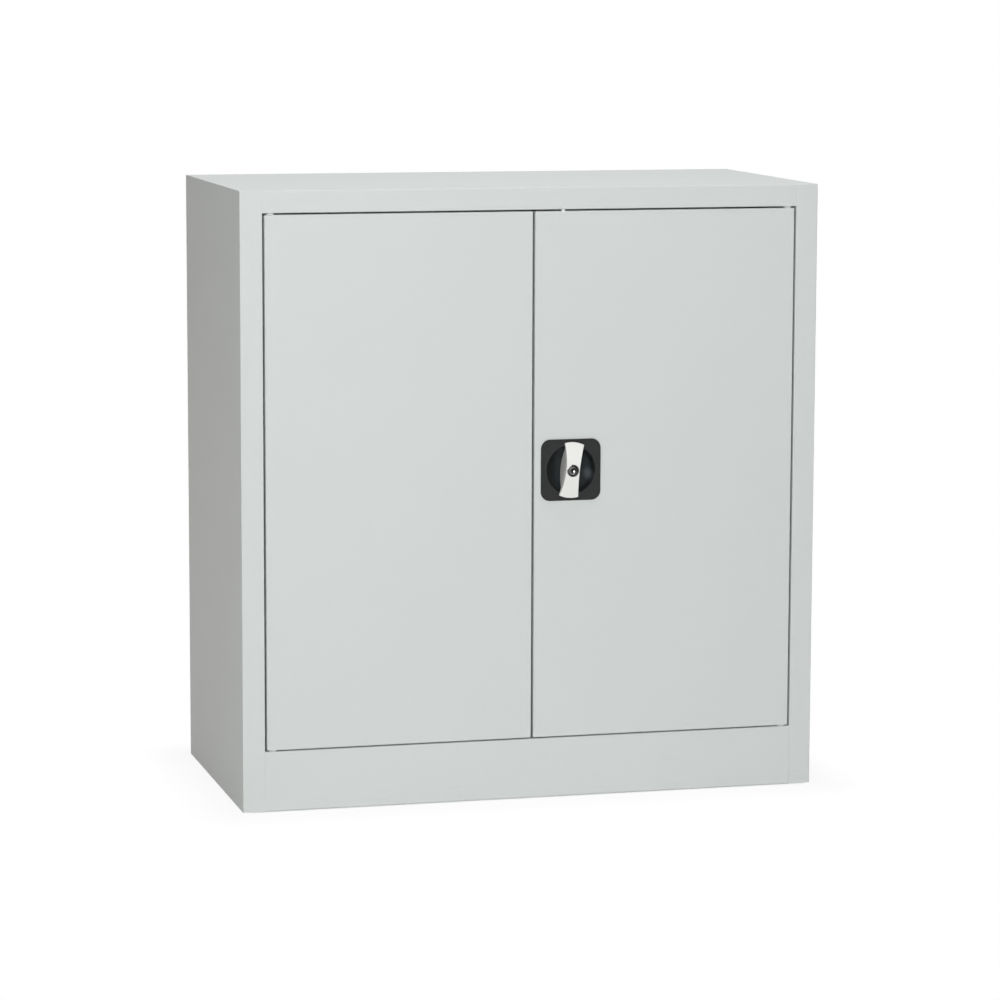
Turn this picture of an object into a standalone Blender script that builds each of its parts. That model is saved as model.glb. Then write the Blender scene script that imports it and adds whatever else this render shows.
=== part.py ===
"""A sheet-steel cupboard with two doors and a dish handle that drives two bolt rods.

Metres, +Z up. The front faces -Y, and +X is the right-hand side as seen from the front. The
origin is on the floor under the middle of the whole object. "Depth" in a name is measured
backwards from the plane of the cupboard's front.
"""

import math

import bmesh
import bpy
from mathutils import Matrix, Vector

# Whole cupboard
WIDTH = 0.915
DEPTH = 0.457
HEIGHT = 0.950

# Sheet steel and fits
SHEET = 0.0008
BEND_RADIUS = 0.0016
BEND_SEGMENTS = 2
FIT = 0.0003
OVERRUN = 0.003

# Frame round the doors
STILE_FACE = 0.035
STILE_RETURN = 0.020
STILE_LIP = 0.010
REAR_FLANGE = 0.025
INNER_FLANGE = 0.018
FLANGE_SETBACK = 0.004
FLANGE_DROP = 0.0004
RAIL_FACE = 0.034
FRAME_LIP = 0.020
TOP_REAR_FLANGE = 0.020
PLINTH_FACE = 0.093
PLINTH_FOOT = 0.028
FLOOR_RETURN = 0.025

# Gaps round the doors
SIDE_GAP = 0.003
TOP_GAP = 0.0025
BOTTOM_GAP = 0.002
MIDDLE_GAP = 0.0035

# Door pans and their stiffeners
DOOR_DEPTH = 0.020
BOWL_TO_LIP = 0.0034
STIFFENER_CROWN = 0.030
STIFFENER_FOOT = 0.012
STIFFENER_DEPTH = 0.014
STIFFENER_MARGIN = 0.024
STIFFENER_SHARE = 0.45

# Hinge pins and nylon bushes
HINGE_INSET = 0.010
HINGE_DEPTH = 0.007
PIN_RADIUS = 0.003
PIN_HEAD_RIM = 0.0025
PIN_HEAD = 0.002
PIN_REACH = 0.012
RUNNING_GAP = 0.00025
BUSH_WALL = 0.00125
BUSH_RIM = 0.00175
BUSH_SLEEVE = 0.006

# Dish of the handle
HANDLE_HEIGHT = 0.514
PLATE_SIZE = 0.0955
PLATE_CORNER = 0.0145
PLATE_PROUD = 0.0025
PLATE_MARGIN = 0.0102
PLATE_BORDER = 0.00925
PLATE_EDGE = 0.0007
BOWL_DEPTH = 0.030
DISH_WALL = 0.002
DISH_RIM_STEP = 0.0004
DISH_HOLE_PLAY = 0.0005
BOSS_RADIUS = 0.013
BOSS_LENGTH = 0.0017
SCREW_INSET = 0.0095
SCREW_RADIUS = 0.0014
SCREW_HEAD_RIM = 0.0018
SCREW_HEAD = 0.0016
SCREW_SKIN = 0.0007

# Lever of the handle
LEVER_INSET = 0.0043
LEVER_END_WIDTH = 0.0306
LEVER_WAIST = 0.0214
LEVER_CLEARANCE = 0.0008
LEVER_END_RISE = 0.0035
LEVER_CROWN = 0.0095
LEVER_TILT = math.radians(6.3)
FIN_WIDTH = 0.018
FIN_SIDE_GAP = 0.0035
FIN_BOTTOM_GAP = 0.002
FIN_OVERLAP = 0.0015

# Key lock in the lever
BARREL_RADIUS = 0.0092
BARREL_LENGTH = 0.0112
BARREL_PROUD = 0.0005
BARREL_FLAT_SHARE = 0.82
PLUG_RADIUS = 0.0062
PLUG_RECESS = 0.0004
KEY_SLOT_LENGTH = 0.0072
KEY_SLOT_WIDTH = 0.0014
KEY_SLOT_DEPTH = 0.007

# Spindle and lock cam
SPINDLE_RADIUS = 0.0055
SPINDLE_GRIP = 0.015
SPINDLE_SQUARE = 0.0076
CAM_SHEET = 0.0025
CAM_THROW = 0.016
CAM_END_RADIUS = 0.009
CAM_PIN_RADIUS = 0.0025
CAM_PIN_END = 0.0008
TONGUE_WIDTH = 0.015
TONGUE_SHEET = 0.002
TONGUE_PLAY = 0.002
TONGUE_CATCH = 0.0095
TONGUE_CLEARANCE = 0.0015
CAM_SCREW_RADIUS = 0.0024
CAM_SCREW_HEAD_RIM = 0.0022
CAM_SCREW_HEAD = 0.0024
CAM_SCREW_LENGTH = 0.010

# Bolt rods and their guides
ROD_RADIUS = 0.004
ROD_PLAY = 0.0015
ROD_TIP_GAP = 0.0008
ROD_CHAMFER = 0.0015
ROD_FOOT_SHEET = 0.0025
ROD_FOOT_GAP = 0.0006
ROD_FOOT_SET = 0.0004
ROD_FOOT_BORDER = 0.0021
ROD_FOOT_SPACING = 0.003
ROD_HEAD_HEIGHT = 0.011
SLOT_PLAY = 0.0009
SLOT_END_PLAY = 0.0004
ROD_NOTCH_PLAY = 0.0015
GUIDE_HEIGHT = 0.0125
GUIDE_WALL = 0.0032
GUIDE_BASE = 0.003
GUIDE_EAR = 0.0055
GUIDE_BORE_PLAY = 0.0004

# Shelf uprights
UPRIGHT_DEPTH = 0.014
UPRIGHT_CROWN = 0.022
UPRIGHT_FOOT = 0.008
UPRIGHT_FRONT = 0.062
UPRIGHT_REAR = 0.030
UPRIGHT_SLOT_PITCH = 0.050
UPRIGHT_SLOT_WIDTH = 0.012
UPRIGHT_SLOT_HEIGHT = 0.004
UPRIGHT_SLOT_MARGIN = 0.040

# Shelves and clips
SHELF_SLOT_SHARES = (0.32, 0.68)
SHELF_FRONT = 0.056
SHELF_BACK_GAP = 0.003
SHELF_RETURN = 0.028
SHELF_LIP = 0.012
SHELF_SIDE_PLAY = 0.0004
CLIP_SHEET = 0.0012
CLIP_BEND = 0.0014
CLIP_WIDTH = 0.010
CLIP_LEDGE = 0.010
CLIP_DROP = 0.012
CLIP_HOOK = 0.0045
CLIP_HOOK_GAP = 0.0008

# Smoothness of round shapes
ROUND_STEPS = 32
BOWL_STEPS = 40
BOWL_RINGS = 7
ARC_STEPS = 8
SMOOTH_ANGLE = math.radians(35)
FOLD_ANGLE = math.radians(30)
MERGE = 0.000001
QUARTER = math.pi / 2
ROUNDING = 1e-6

# Places worked out from the sizes above
BOWL_RADIUS = PLATE_SIZE / 2 - PLATE_BORDER
LEVER_LENGTH = PLATE_SIZE - 2 * LEVER_INSET
HANDLE_PROUD = PLATE_PROUD + LEVER_END_RISE + LEVER_CROWN + BARREL_PROUD
HANDLE_X = MIDDLE_GAP / 2 + PLATE_MARGIN + PLATE_SIZE / 2
FRONT = (HANDLE_PROUD - DEPTH) / 2
BACK = FRONT + DEPTH
SIDE_TOP = HEIGHT - SHEET - FIT
WALL_X = WIDTH / 2 - SHEET
STILE_X = WIDTH / 2 - STILE_FACE

BOSS_END_DEPTH = BOWL_DEPTH - PLATE_PROUD + DISH_WALL + BOSS_LENGTH
CAM_FRONT_DEPTH = BOSS_END_DEPTH + FIT
CAM_BACK_DEPTH = CAM_FRONT_DEPTH + CAM_SHEET
ROD_FOOT_DEPTH = CAM_BACK_DEPTH + ROD_FOOT_GAP
ROD_DEPTH = ROD_FOOT_DEPTH + ROD_FOOT_SET + ROD_RADIUS
FRAME_RETURN = ROD_DEPTH - ROD_RADIUS - ROD_PLAY
SLOT_HALF_HEIGHT = CAM_PIN_RADIUS + SLOT_PLAY

DOOR_LIP = PLATE_MARGIN + PLATE_BORDER - DISH_WALL - BOWL_TO_LIP
DOOR_TOP = HEIGHT - RAIL_FACE - TOP_GAP
DOOR_BOTTOM = PLINTH_FACE + BOTTOM_GAP
DOOR_OUTER_X = STILE_X - SIDE_GAP
DOOR_INNER_X = MIDDLE_GAP / 2
HINGE_X = DOOR_OUTER_X - HINGE_INSET
HINGE_Y = FRONT + HINGE_DEPTH

BACK_PANEL_Y = BACK - SHEET - FIT - SHEET
UPRIGHT_WIDTH = UPRIGHT_CROWN + 2 * UPRIGHT_FOOT
UPRIGHT_BOTTOM = PLINTH_FACE + FIT
UPRIGHT_TOP = HEIGHT - RAIL_FACE
CROWN_X = WALL_X - FIT - SHEET - UPRIGHT_DEPTH
SHELF_X = CROWN_X - FIT - CLIP_SHEET - SHELF_SIDE_PLAY

LEFT = -1
RIGHT = 1
LEFT_HINGE = (-HINGE_X, HINGE_Y, 0)
RIGHT_HINGE = (HINGE_X, HINGE_Y, 0)
HANDLE_CENTRE = (HANDLE_X, FRONT, HANDLE_HEIGHT)


def clear_scene():
    """Remove what the file starts with."""
    for obj in list(bpy.data.objects):
        bpy.data.objects.remove(obj, do_unlink=True)


def new_collection(name):
    collection = bpy.data.collections.new(name)
    bpy.context.scene.collection.children.link(collection)
    return collection


def new_material(name, colour, metallic, roughness):
    """A Principled material. The colour is linear RGB."""
    material = bpy.data.materials.new(name)
    material.use_nodes = True
    shader = material.node_tree.nodes["Principled BSDF"]
    shader.inputs["Base Color"].default_value = (*colour, 1)
    shader.inputs["Metallic"].default_value = metallic
    shader.inputs["Roughness"].default_value = roughness
    material.diffuse_color = (*colour, 1)
    return material


clear_scene()
PARTS = new_collection("double_door_cupboard")
CUTTERS = new_collection("cutters")

PAINT = new_material("grey_paint", (0.64, 0.67, 0.65), 0.0, 0.45)
STEEL = new_material("bright_steel", (0.62, 0.62, 0.60), 1.0, 0.30)
NYLON = new_material("white_nylon", (0.86, 0.86, 0.84), 0.0, 0.40)
BLACK = new_material("black_plastic", (0.035, 0.037, 0.036), 0.0, 0.50)
SILVER = new_material("silver_lever", (0.80, 0.80, 0.77), 0.0, 0.35)
CHROME = new_material("dark_chrome", (0.40, 0.40, 0.39), 1.0, 0.15)


def origin_of(obj):
    """World place of an object whose parents are moved and never turned."""
    place = Vector()
    while obj:
        place += obj.location
        obj = obj.parent
    return place


def new_body(name, pivot, parent=None):
    """An empty on a joint's axis, which carries the pieces that move about it."""
    empty = bpy.data.objects.new(name, None)
    empty.empty_display_size = HINGE_INSET
    PARTS.objects.link(empty)
    empty.parent = parent
    empty.location = Vector(pivot) - origin_of(parent)
    return empty


def new_object(name, mesh, place=(0, 0, 0), turn=(0, 0, 0)):
    obj = bpy.data.objects.new(name, mesh)
    obj.location = place
    obj.rotation_euler = turn
    PARTS.objects.link(obj)
    return obj


def finish(obj, body, material):
    """Hang a piece, and the cutters that shape it, on its body and give it its material."""
    tools = [modifier.object for modifier in obj.modifiers if modifier.type == "BOOLEAN"]
    for piece in [obj, *tools]:
        piece.location = Vector(piece.location) - origin_of(body)
        piece.parent = body
    obj.data.materials.clear()
    obj.data.materials.append(material)
    return obj


def combine(target, tool, operation):
    """Cut, join or intersect with a Boolean, and put the tool away with the cutters."""
    modifier = target.modifiers.new(tool.name, "BOOLEAN")
    modifier.operation = operation
    modifier.object = tool
    modifier.solver = "EXACT"
    PARTS.objects.unlink(tool)
    CUTTERS.objects.link(tool)
    tool.hide_render = True
    tool.display_type = "WIRE"


def cut(target, *tools):
    for tool in tools:
        combine(target, tool, "DIFFERENCE")


def join(target, *tools):
    for tool in tools:
        combine(target, tool, "UNION")


def along(axis, u, v, w):
    """A point from two coordinates across an axis and one along it, in cyclic order."""
    return Vector({"X": (w, u, v), "Y": (v, w, u), "Z": (u, v, w)}[axis])


def arc(centre, radius, start, end, steps=ARC_STEPS):
    """Points on a circle, both ends included. Angles are in radians."""
    angles = [start + (end - start) * i / steps for i in range(steps + 1)]
    return [(centre[0] + radius * math.cos(a), centre[1] + radius * math.sin(a)) for a in angles]


def circle(centre, radius, steps=ROUND_STEPS):
    return arc(centre, radius, 0, 2 * math.pi, steps)[:-1]


def stadium(centre, half_length, radius, steps=ARC_STEPS):
    """A slot along the first coordinate: half_length is from its centre to an arc's centre."""
    right = arc((centre[0] + half_length, centre[1]), radius, -QUARTER, QUARTER, steps)
    left = arc((centre[0] - half_length, centre[1]), radius, QUARTER, 3 * QUARTER, steps)
    return right + left


def turned_by(points, angle):
    cosine, sine = math.cos(angle), math.sin(angle)
    return [(x * cosine - y * sine, x * sine + y * cosine) for x, y in points]


def mirrored(points, side, index=0):
    """The points for the other side: one coordinate changes sign and the order turns round."""
    if side == LEFT:
        return points
    flipped = [tuple(-c if i == index else c for i, c in enumerate(point)) for point in points]
    return flipped[::-1]


def box(name, low, high):
    """A box from its lowest to its highest corner."""
    low, high = Vector(low), Vector(high)
    bm = bmesh.new()
    bmesh.ops.create_cube(bm, size=1)
    bmesh.ops.scale(bm, vec=high - low, verts=bm.verts)
    mesh = bpy.data.meshes.new(name)
    bm.to_mesh(mesh)
    bm.free()
    return new_object(name, mesh, (low + high) / 2)


def cylinder(name, start, end, radius, steps=ROUND_STEPS):
    """A cylinder between two points on its axis, which lies along X, Y or Z."""
    start, end = Vector(start), Vector(end)
    bm = bmesh.new()
    bmesh.ops.create_cone(
        bm,
        cap_ends=True,
        segments=steps,
        radius1=radius,
        radius2=radius,
        depth=(end - start).length,
    )
    turn = Vector((0, 0, 1)).rotation_difference(end - start)
    bmesh.ops.rotate(bm, verts=bm.verts, matrix=turn.to_matrix())
    mesh = bpy.data.meshes.new(name)
    bm.to_mesh(mesh)
    bm.free()
    smooth(mesh)
    return new_object(name, mesh, (start + end) / 2)


def smooth(mesh):
    mesh.shade_smooth()
    mesh.set_sharp_from_angle(angle=SMOOTH_ANGLE)


def turned(name, profile, place, turn=(0, 0, 0), closed=False, steps=ROUND_STEPS):
    """A turned piece. The profile is (radius, height) and runs down the outer side."""
    mesh = bpy.data.meshes.new(name)
    count = len(profile)
    edges = [(i, (i + 1) % count) for i in range(count if closed else count - 1)]
    mesh.from_pydata([(radius, 0, height) for radius, height in profile], edges, [])
    obj = new_object(name, mesh, place, turn)
    screw = obj.modifiers.new("turn", "SCREW")
    screw.steps = steps
    screw.render_steps = steps
    screw.use_merge_vertices = True
    screw.merge_threshold = MERGE
    screw.use_smooth_shade = False
    return obj


def prism(name, loops, axis, low, high, place=(0, 0, 0), tilt=0.0):
    """A flat outline, with its holes as further loops, extruded from low to high along an axis.

    The outline is a filled 2D curve. It is made a mesh with welded caps, so that it can be cut.
    """
    curve = bpy.data.curves.new(name, "CURVE")
    curve.dimensions = "2D"
    curve.fill_mode = "BOTH"
    curve.extrude = (high - low) / 2
    for loop in loops:
        spline = curve.splines.new("POLY")
        spline.points.add(len(loop) - 1)
        for point, (u, v) in zip(spline.points, loop):
            point.co = (u, v, 0, 1)
        spline.use_cyclic_u = True
    guide = new_object(name, curve)
    graph = bpy.context.evaluated_depsgraph_get()
    mesh = bpy.data.meshes.new_from_object(guide.evaluated_get(graph))
    bpy.data.objects.remove(guide, do_unlink=True)
    bpy.data.curves.remove(curve)
    columns = [along(axis, *unit) for unit in ((1, 0, 0), (0, 1, 0), (0, 0, 1))]
    mesh.transform(Matrix(columns).transposed().to_4x4())
    mesh.transform(Matrix.Translation(along(axis, 0, 0, (low + high) / 2)))
    bm = bmesh.new()
    bm.from_mesh(mesh)
    bmesh.ops.remove_doubles(bm, verts=bm.verts, dist=MERGE)
    bmesh.ops.recalc_face_normals(bm, faces=bm.faces)
    bm.to_mesh(mesh)
    bm.free()
    mesh.name = name
    return new_object(name, mesh, place, (0, tilt, 0))


def make_sheet(obj, bend, thickness):
    """Round the folds of an open surface and give it its thickness on the inner side."""
    folds = obj.modifiers.new("folds", "BEVEL")
    folds.width = bend
    folds.segments = BEND_SEGMENTS
    folds.limit_method = "ANGLE"
    folds.angle_limit = FOLD_ANGLE
    wall = obj.modifiers.new("wall", "SOLIDIFY")
    wall.thickness = thickness
    wall.offset = -1
    wall.use_even_offset = True
    wall.use_quality_normals = True


def folded_strip(name, points, axis, start, end, bend=BEND_RADIUS, thickness=SHEET):
    """Sheet bent along a path and extruded. Its thickness grows to the left of the path."""
    bm = bmesh.new()
    rail = [bm.verts.new(along(axis, u, v, start)) for u, v in points]
    edges = [bm.edges.new(pair) for pair in zip(rail, rail[1:])]
    swept = bmesh.ops.extrude_edge_only(bm, edges=edges)["geom"]
    far = [item for item in swept if isinstance(item, bmesh.types.BMVert)]
    bmesh.ops.translate(bm, verts=far, vec=along(axis, 0, 0, end - start))
    bmesh.ops.recalc_face_normals(bm, faces=bm.faces)
    outside = (rail[1].co - rail[0].co).cross(along(axis, 0, 0, end - start))
    if edges[0].link_faces[0].normal.dot(outside) < 0:
        bmesh.ops.reverse_faces(bm, faces=bm.faces)
    mesh = bpy.data.meshes.new(name)
    bm.to_mesh(mesh)
    bm.free()
    obj = new_object(name, mesh)
    make_sheet(obj, bend, thickness)
    return obj


def folded_pan(name, low, high, open_side, lip=0.0, bend=BEND_RADIUS):
    """A tray folded from one sheet, open towards open_side, with an inward lip round its mouth."""
    low, high, open_side = Vector(low), Vector(high), Vector(open_side)
    middle = (low + high) / 2
    bm = bmesh.new()
    bmesh.ops.create_cube(bm, size=1)
    bmesh.ops.scale(bm, vec=high - low, verts=bm.verts)
    lid = max(bm.faces, key=lambda face: face.normal.dot(open_side))
    base = min(bm.faces, key=lambda face: face.normal.dot(open_side))
    rim = list(lid.edges)
    bmesh.ops.delete(bm, geom=[lid], context="FACES_ONLY")
    if lip:
        swept = bmesh.ops.extrude_edge_only(bm, edges=rim)["geom"]
        for vert in [item for item in swept if isinstance(item, bmesh.types.BMVert)]:
            inward = [0 if open_side[i] else -math.copysign(lip, vert.co[i]) for i in range(3)]
            vert.co += Vector(inward)
    bmesh.ops.recalc_face_normals(bm, faces=bm.faces)
    if base.normal.dot(open_side) > 0:
        bmesh.ops.reverse_faces(bm, faces=bm.faces)
    mesh = bpy.data.meshes.new(name)
    bm.to_mesh(mesh)
    bm.free()
    obj = new_object(name, mesh, middle)
    make_sheet(obj, bend, SHEET)
    return obj


def side_word(side):
    return "left" if side == LEFT else "right"


def at_depth(depth):
    """The Y of a plane that lies this far behind the front."""
    return FRONT + depth


def side_panel(side):
    """Outer wall with its front stile, rear flange and inward flanges at the top and floor."""
    name = side_word(side) + "_side_panel"
    lip_x = STILE_X + STILE_LIP
    profile = [
        (-WIDTH / 2 + REAR_FLANGE, BACK),
        (-WIDTH / 2, BACK),
        (-WIDTH / 2, FRONT),
        (-STILE_X, FRONT),
        (-STILE_X, FRONT + STILE_RETURN),
        (-lip_x, FRONT + STILE_RETURN),
    ]
    panel = folded_strip(name, mirrored(profile, side), "Z", 0, SIDE_TOP)
    for end, low, high in (
        ("top", SIDE_TOP - FLANGE_DROP - SHEET, SIDE_TOP - FLANGE_DROP),
        ("floor", FLANGE_DROP, FLANGE_DROP + SHEET),
    ):
        wall_x = side * (WALL_X + SHEET / 2)
        edge_x = side * (WIDTH / 2 - INNER_FLANGE)
        flange = box(
            name + "_" + end + "_flange",
            (min(wall_x, edge_x), FRONT + FLANGE_SETBACK, low),
            (max(wall_x, edge_x), BACK_PANEL_Y - FLANGE_SETBACK, high),
        )
        join(panel, flange)
    return finish(panel, None, PAINT)


def top_panel():
    """Top sheet, folded down in front into the rail over the doors and behind into a flange."""
    profile = [
        (BACK, HEIGHT - TOP_REAR_FLANGE),
        (BACK, HEIGHT),
        (FRONT, HEIGHT),
        (FRONT, HEIGHT - RAIL_FACE),
        (FRONT + FRAME_RETURN, HEIGHT - RAIL_FACE),
        (FRONT + FRAME_RETURN, HEIGHT - RAIL_FACE + FRAME_LIP),
    ]
    panel = folded_strip("top_panel", profile, "X", -WIDTH / 2, WIDTH / 2)
    notch_top = HEIGHT - SHEET - FIT / 2
    for side in (LEFT, RIGHT):
        outer_x = side * (WIDTH / 2 + OVERRUN)
        rail_x = side * (STILE_X - FIT)
        rear_x = side * (WIDTH / 2 - REAR_FLANGE - FIT)
        front_notch = box(
            side_word(side) + "_front_notch",
            (min(rail_x, outer_x), FRONT - OVERRUN, HEIGHT - RAIL_FACE - OVERRUN),
            (max(rail_x, outer_x), FRONT + FRAME_RETURN + OVERRUN, notch_top),
        )
        rear_notch = box(
            side_word(side) + "_rear_notch",
            (min(rear_x, outer_x), BACK_PANEL_Y, HEIGHT - TOP_REAR_FLANGE - OVERRUN),
            (max(rear_x, outer_x), BACK + OVERRUN, notch_top),
        )
        hole = cylinder(
            side_word(side) + "_top_pin_hole",
            (side * HINGE_X, HINGE_Y, HEIGHT - RAIL_FACE - OVERRUN),
            (side * HINGE_X, HINGE_Y, HEIGHT - RAIL_FACE + OVERRUN),
            PIN_RADIUS + FIT,
        )
        cut(panel, front_notch, rear_notch, hole)
    return finish(panel, None, PAINT)


def plinth_panel():
    """Plinth between the stiles, with a return under the doors and a foot on the floor."""
    profile = [
        (FRONT + FRAME_RETURN, PLINTH_FACE - FRAME_LIP),
        (FRONT + FRAME_RETURN, PLINTH_FACE),
        (FRONT, PLINTH_FACE),
        (FRONT, 0),
        (FRONT + PLINTH_FOOT, 0),
    ]
    end_x = STILE_X - FIT
    panel = folded_strip("plinth_panel", profile, "X", -end_x, end_x)
    for side in (LEFT, RIGHT):
        hole = cylinder(
            side_word(side) + "_plinth_pin_hole",
            (side * HINGE_X, HINGE_Y, PLINTH_FACE - OVERRUN),
            (side * HINGE_X, HINGE_Y, PLINTH_FACE + OVERRUN),
            PIN_RADIUS + FIT,
        )
        cut(panel, hole)
    return finish(panel, None, PAINT)


def floor_panel():
    """Bottom of the cupboard, level with the plinth, notched where the lower rod goes down."""
    edge_x = WALL_X - FIT
    front_y = FRONT + FRAME_RETURN + FIT
    panel = folded_pan(
        "floor_panel",
        (-edge_x, front_y, PLINTH_FACE - FLOOR_RETURN),
        (edge_x, BACK_PANEL_Y - FIT, PLINTH_FACE),
        (0, 0, -1),
    )
    notch_radius = ROD_RADIUS + ROD_NOTCH_PLAY
    rod_y = at_depth(ROD_DEPTH)
    mouth_y = front_y - OVERRUN
    outline = [(HANDLE_X + notch_radius, mouth_y)]
    outline += arc((HANDLE_X, rod_y), notch_radius, 0, math.pi)
    outline += [(HANDLE_X - notch_radius, mouth_y)]
    notch = prism(
        "rod_notch", [outline], "Z", PLINTH_FACE - FLOOR_RETURN - OVERRUN, PLINTH_FACE + OVERRUN
    )
    cut(panel, notch)
    return finish(panel, None, PAINT)


def back_panel():
    """Plain sheet that lies against the inner side of the rear flanges."""
    edge_x = WALL_X - FIT
    panel = box("back_panel", (-edge_x, BACK_PANEL_Y, 0), (edge_x, BACK_PANEL_Y + SHEET, SIDE_TOP))
    return finish(panel, None, PAINT)


def upright_place(row):
    """Y of the front edge of the front or rear row of uprights."""
    if row == "front":
        return at_depth(UPRIGHT_FRONT)
    return BACK_PANEL_Y - UPRIGHT_REAR - UPRIGHT_WIDTH


def slot_heights():
    """Heights of the centres of an upright's slots."""
    length = UPRIGHT_TOP - UPRIGHT_BOTTOM - 2 * UPRIGHT_SLOT_MARGIN
    count = int(length / UPRIGHT_SLOT_PITCH + ROUNDING) + 1
    first = UPRIGHT_BOTTOM + UPRIGHT_SLOT_MARGIN
    return [first + i * UPRIGHT_SLOT_PITCH for i in range(count)]


def shelf_upright(side, row):
    """Hat-section upright on the side wall, with a row of slots for the shelf clips."""
    name = side_word(side) + "_" + row + "_shelf_upright"
    front_y = upright_place(row)
    foot_x = -(WALL_X - FIT - SHEET)
    profile = [
        (foot_x, front_y),
        (foot_x, front_y + UPRIGHT_FOOT),
        (-CROWN_X, front_y + UPRIGHT_FOOT),
        (-CROWN_X, front_y + UPRIGHT_FOOT + UPRIGHT_CROWN),
        (foot_x, front_y + UPRIGHT_FOOT + UPRIGHT_CROWN),
        (foot_x, front_y + UPRIGHT_WIDTH),
    ]
    upright = folded_strip(name, mirrored(profile, side), "Z", UPRIGHT_BOTTOM, UPRIGHT_TOP)
    heights = slot_heights()
    middle_y = front_y + UPRIGHT_WIDTH / 2
    slot = box(
        name + "_slots",
        (
            side * CROWN_X - OVERRUN,
            middle_y - UPRIGHT_SLOT_WIDTH / 2,
            heights[0] - UPRIGHT_SLOT_HEIGHT / 2,
        ),
        (
            side * CROWN_X + OVERRUN,
            middle_y + UPRIGHT_SLOT_WIDTH / 2,
            heights[0] + UPRIGHT_SLOT_HEIGHT / 2,
        ),
    )
    row_of_slots = slot.modifiers.new("row", "ARRAY")
    row_of_slots.count = len(heights)
    row_of_slots.use_relative_offset = False
    row_of_slots.use_constant_offset = True
    row_of_slots.constant_offset_displace = (0, 0, UPRIGHT_SLOT_PITCH)
    cut(upright, slot)
    return finish(upright, None, STEEL)


def tab_height(share):
    """Underside of the tab of the clips that carry the shelf at this share of the uprights."""
    heights = slot_heights()
    return heights[round(share * (len(heights) - 1))] - CLIP_SHEET / 2


def shelf_bottom(share):
    return tab_height(share) + CLIP_DROP + CLIP_SHEET + FIT


def shelf(name, share):
    """Shelf pan, folded down and inward on all four sides."""
    low_z = shelf_bottom(share)
    pan = folded_pan(
        name,
        (-SHELF_X, at_depth(SHELF_FRONT), low_z),
        (SHELF_X, BACK_PANEL_Y - SHELF_BACK_GAP, low_z + SHELF_RETURN),
        (0, 0, -1),
        SHELF_LIP,
    )
    return finish(pan, None, PAINT)


def shelf_clip(name, side, row, share):
    """Clip hooked into an upright's slot: ledge, drop, tab through the slot, and hook."""
    tab_z = tab_height(share)
    plate_x = -CROWN_X + FIT + CLIP_SHEET
    hook_x = -CROWN_X - SHEET - CLIP_HOOK_GAP
    path = [
        (tab_z + CLIP_DROP, plate_x + CLIP_LEDGE),
        (tab_z + CLIP_DROP, plate_x),
        (tab_z, plate_x),
        (tab_z, hook_x),
        (tab_z - CLIP_HOOK, hook_x),
    ]
    middle_y = upright_place(row) + UPRIGHT_WIDTH / 2
    clip = folded_strip(
        name,
        mirrored(path, side, index=1),
        "Y",
        middle_y - CLIP_WIDTH / 2,
        middle_y + CLIP_WIDTH / 2,
        CLIP_BEND,
        CLIP_SHEET,
    )
    return finish(clip, None, STEEL)


def hinge_pin(side, end):
    """Headed pin that stands in the frame's return and reaches through the bush into the door."""
    top = end == "top"
    gap = TOP_GAP if top else BOTTOM_GAP
    seat = SHEET + FIT
    head_radius = PIN_RADIUS + PIN_HEAD_RIM
    profile = [
        (0, seat + PIN_HEAD),
        (head_radius, seat + PIN_HEAD),
        (head_radius, seat),
        (PIN_RADIUS, seat),
        (PIN_RADIUS, -gap - PIN_REACH),
        (0, -gap - PIN_REACH),
    ]
    pin = turned(
        side_word(side) + "_" + end + "_hinge_pin",
        profile,
        (side * HINGE_X, HINGE_Y, HEIGHT - RAIL_FACE if top else PLINTH_FACE),
        (0 if top else math.pi, 0, 0),
    )
    return finish(pin, None, STEEL)


def hinge_bush(side, end, body):
    """Nylon bush: its flange fills the gap over the door, its sleeve lines the door's hole."""
    top = end == "top"
    gap = TOP_GAP if top else BOTTOM_GAP
    bore = PIN_RADIUS + RUNNING_GAP
    sleeve = bore + BUSH_WALL
    flange = sleeve + BUSH_RIM
    profile = [
        (flange, gap - FIT),
        (flange, FIT),
        (sleeve, FIT),
        (sleeve, -BUSH_SLEEVE),
        (bore, -BUSH_SLEEVE),
        (bore, gap - FIT),
    ]
    bush = turned(
        side_word(side) + "_" + end + "_hinge_bush",
        profile,
        (side * HINGE_X, HINGE_Y, DOOR_TOP if top else DOOR_BOTTOM),
        (0 if top else math.pi, 0, 0),
        closed=True,
    )
    return finish(bush, body, NYLON)


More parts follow.
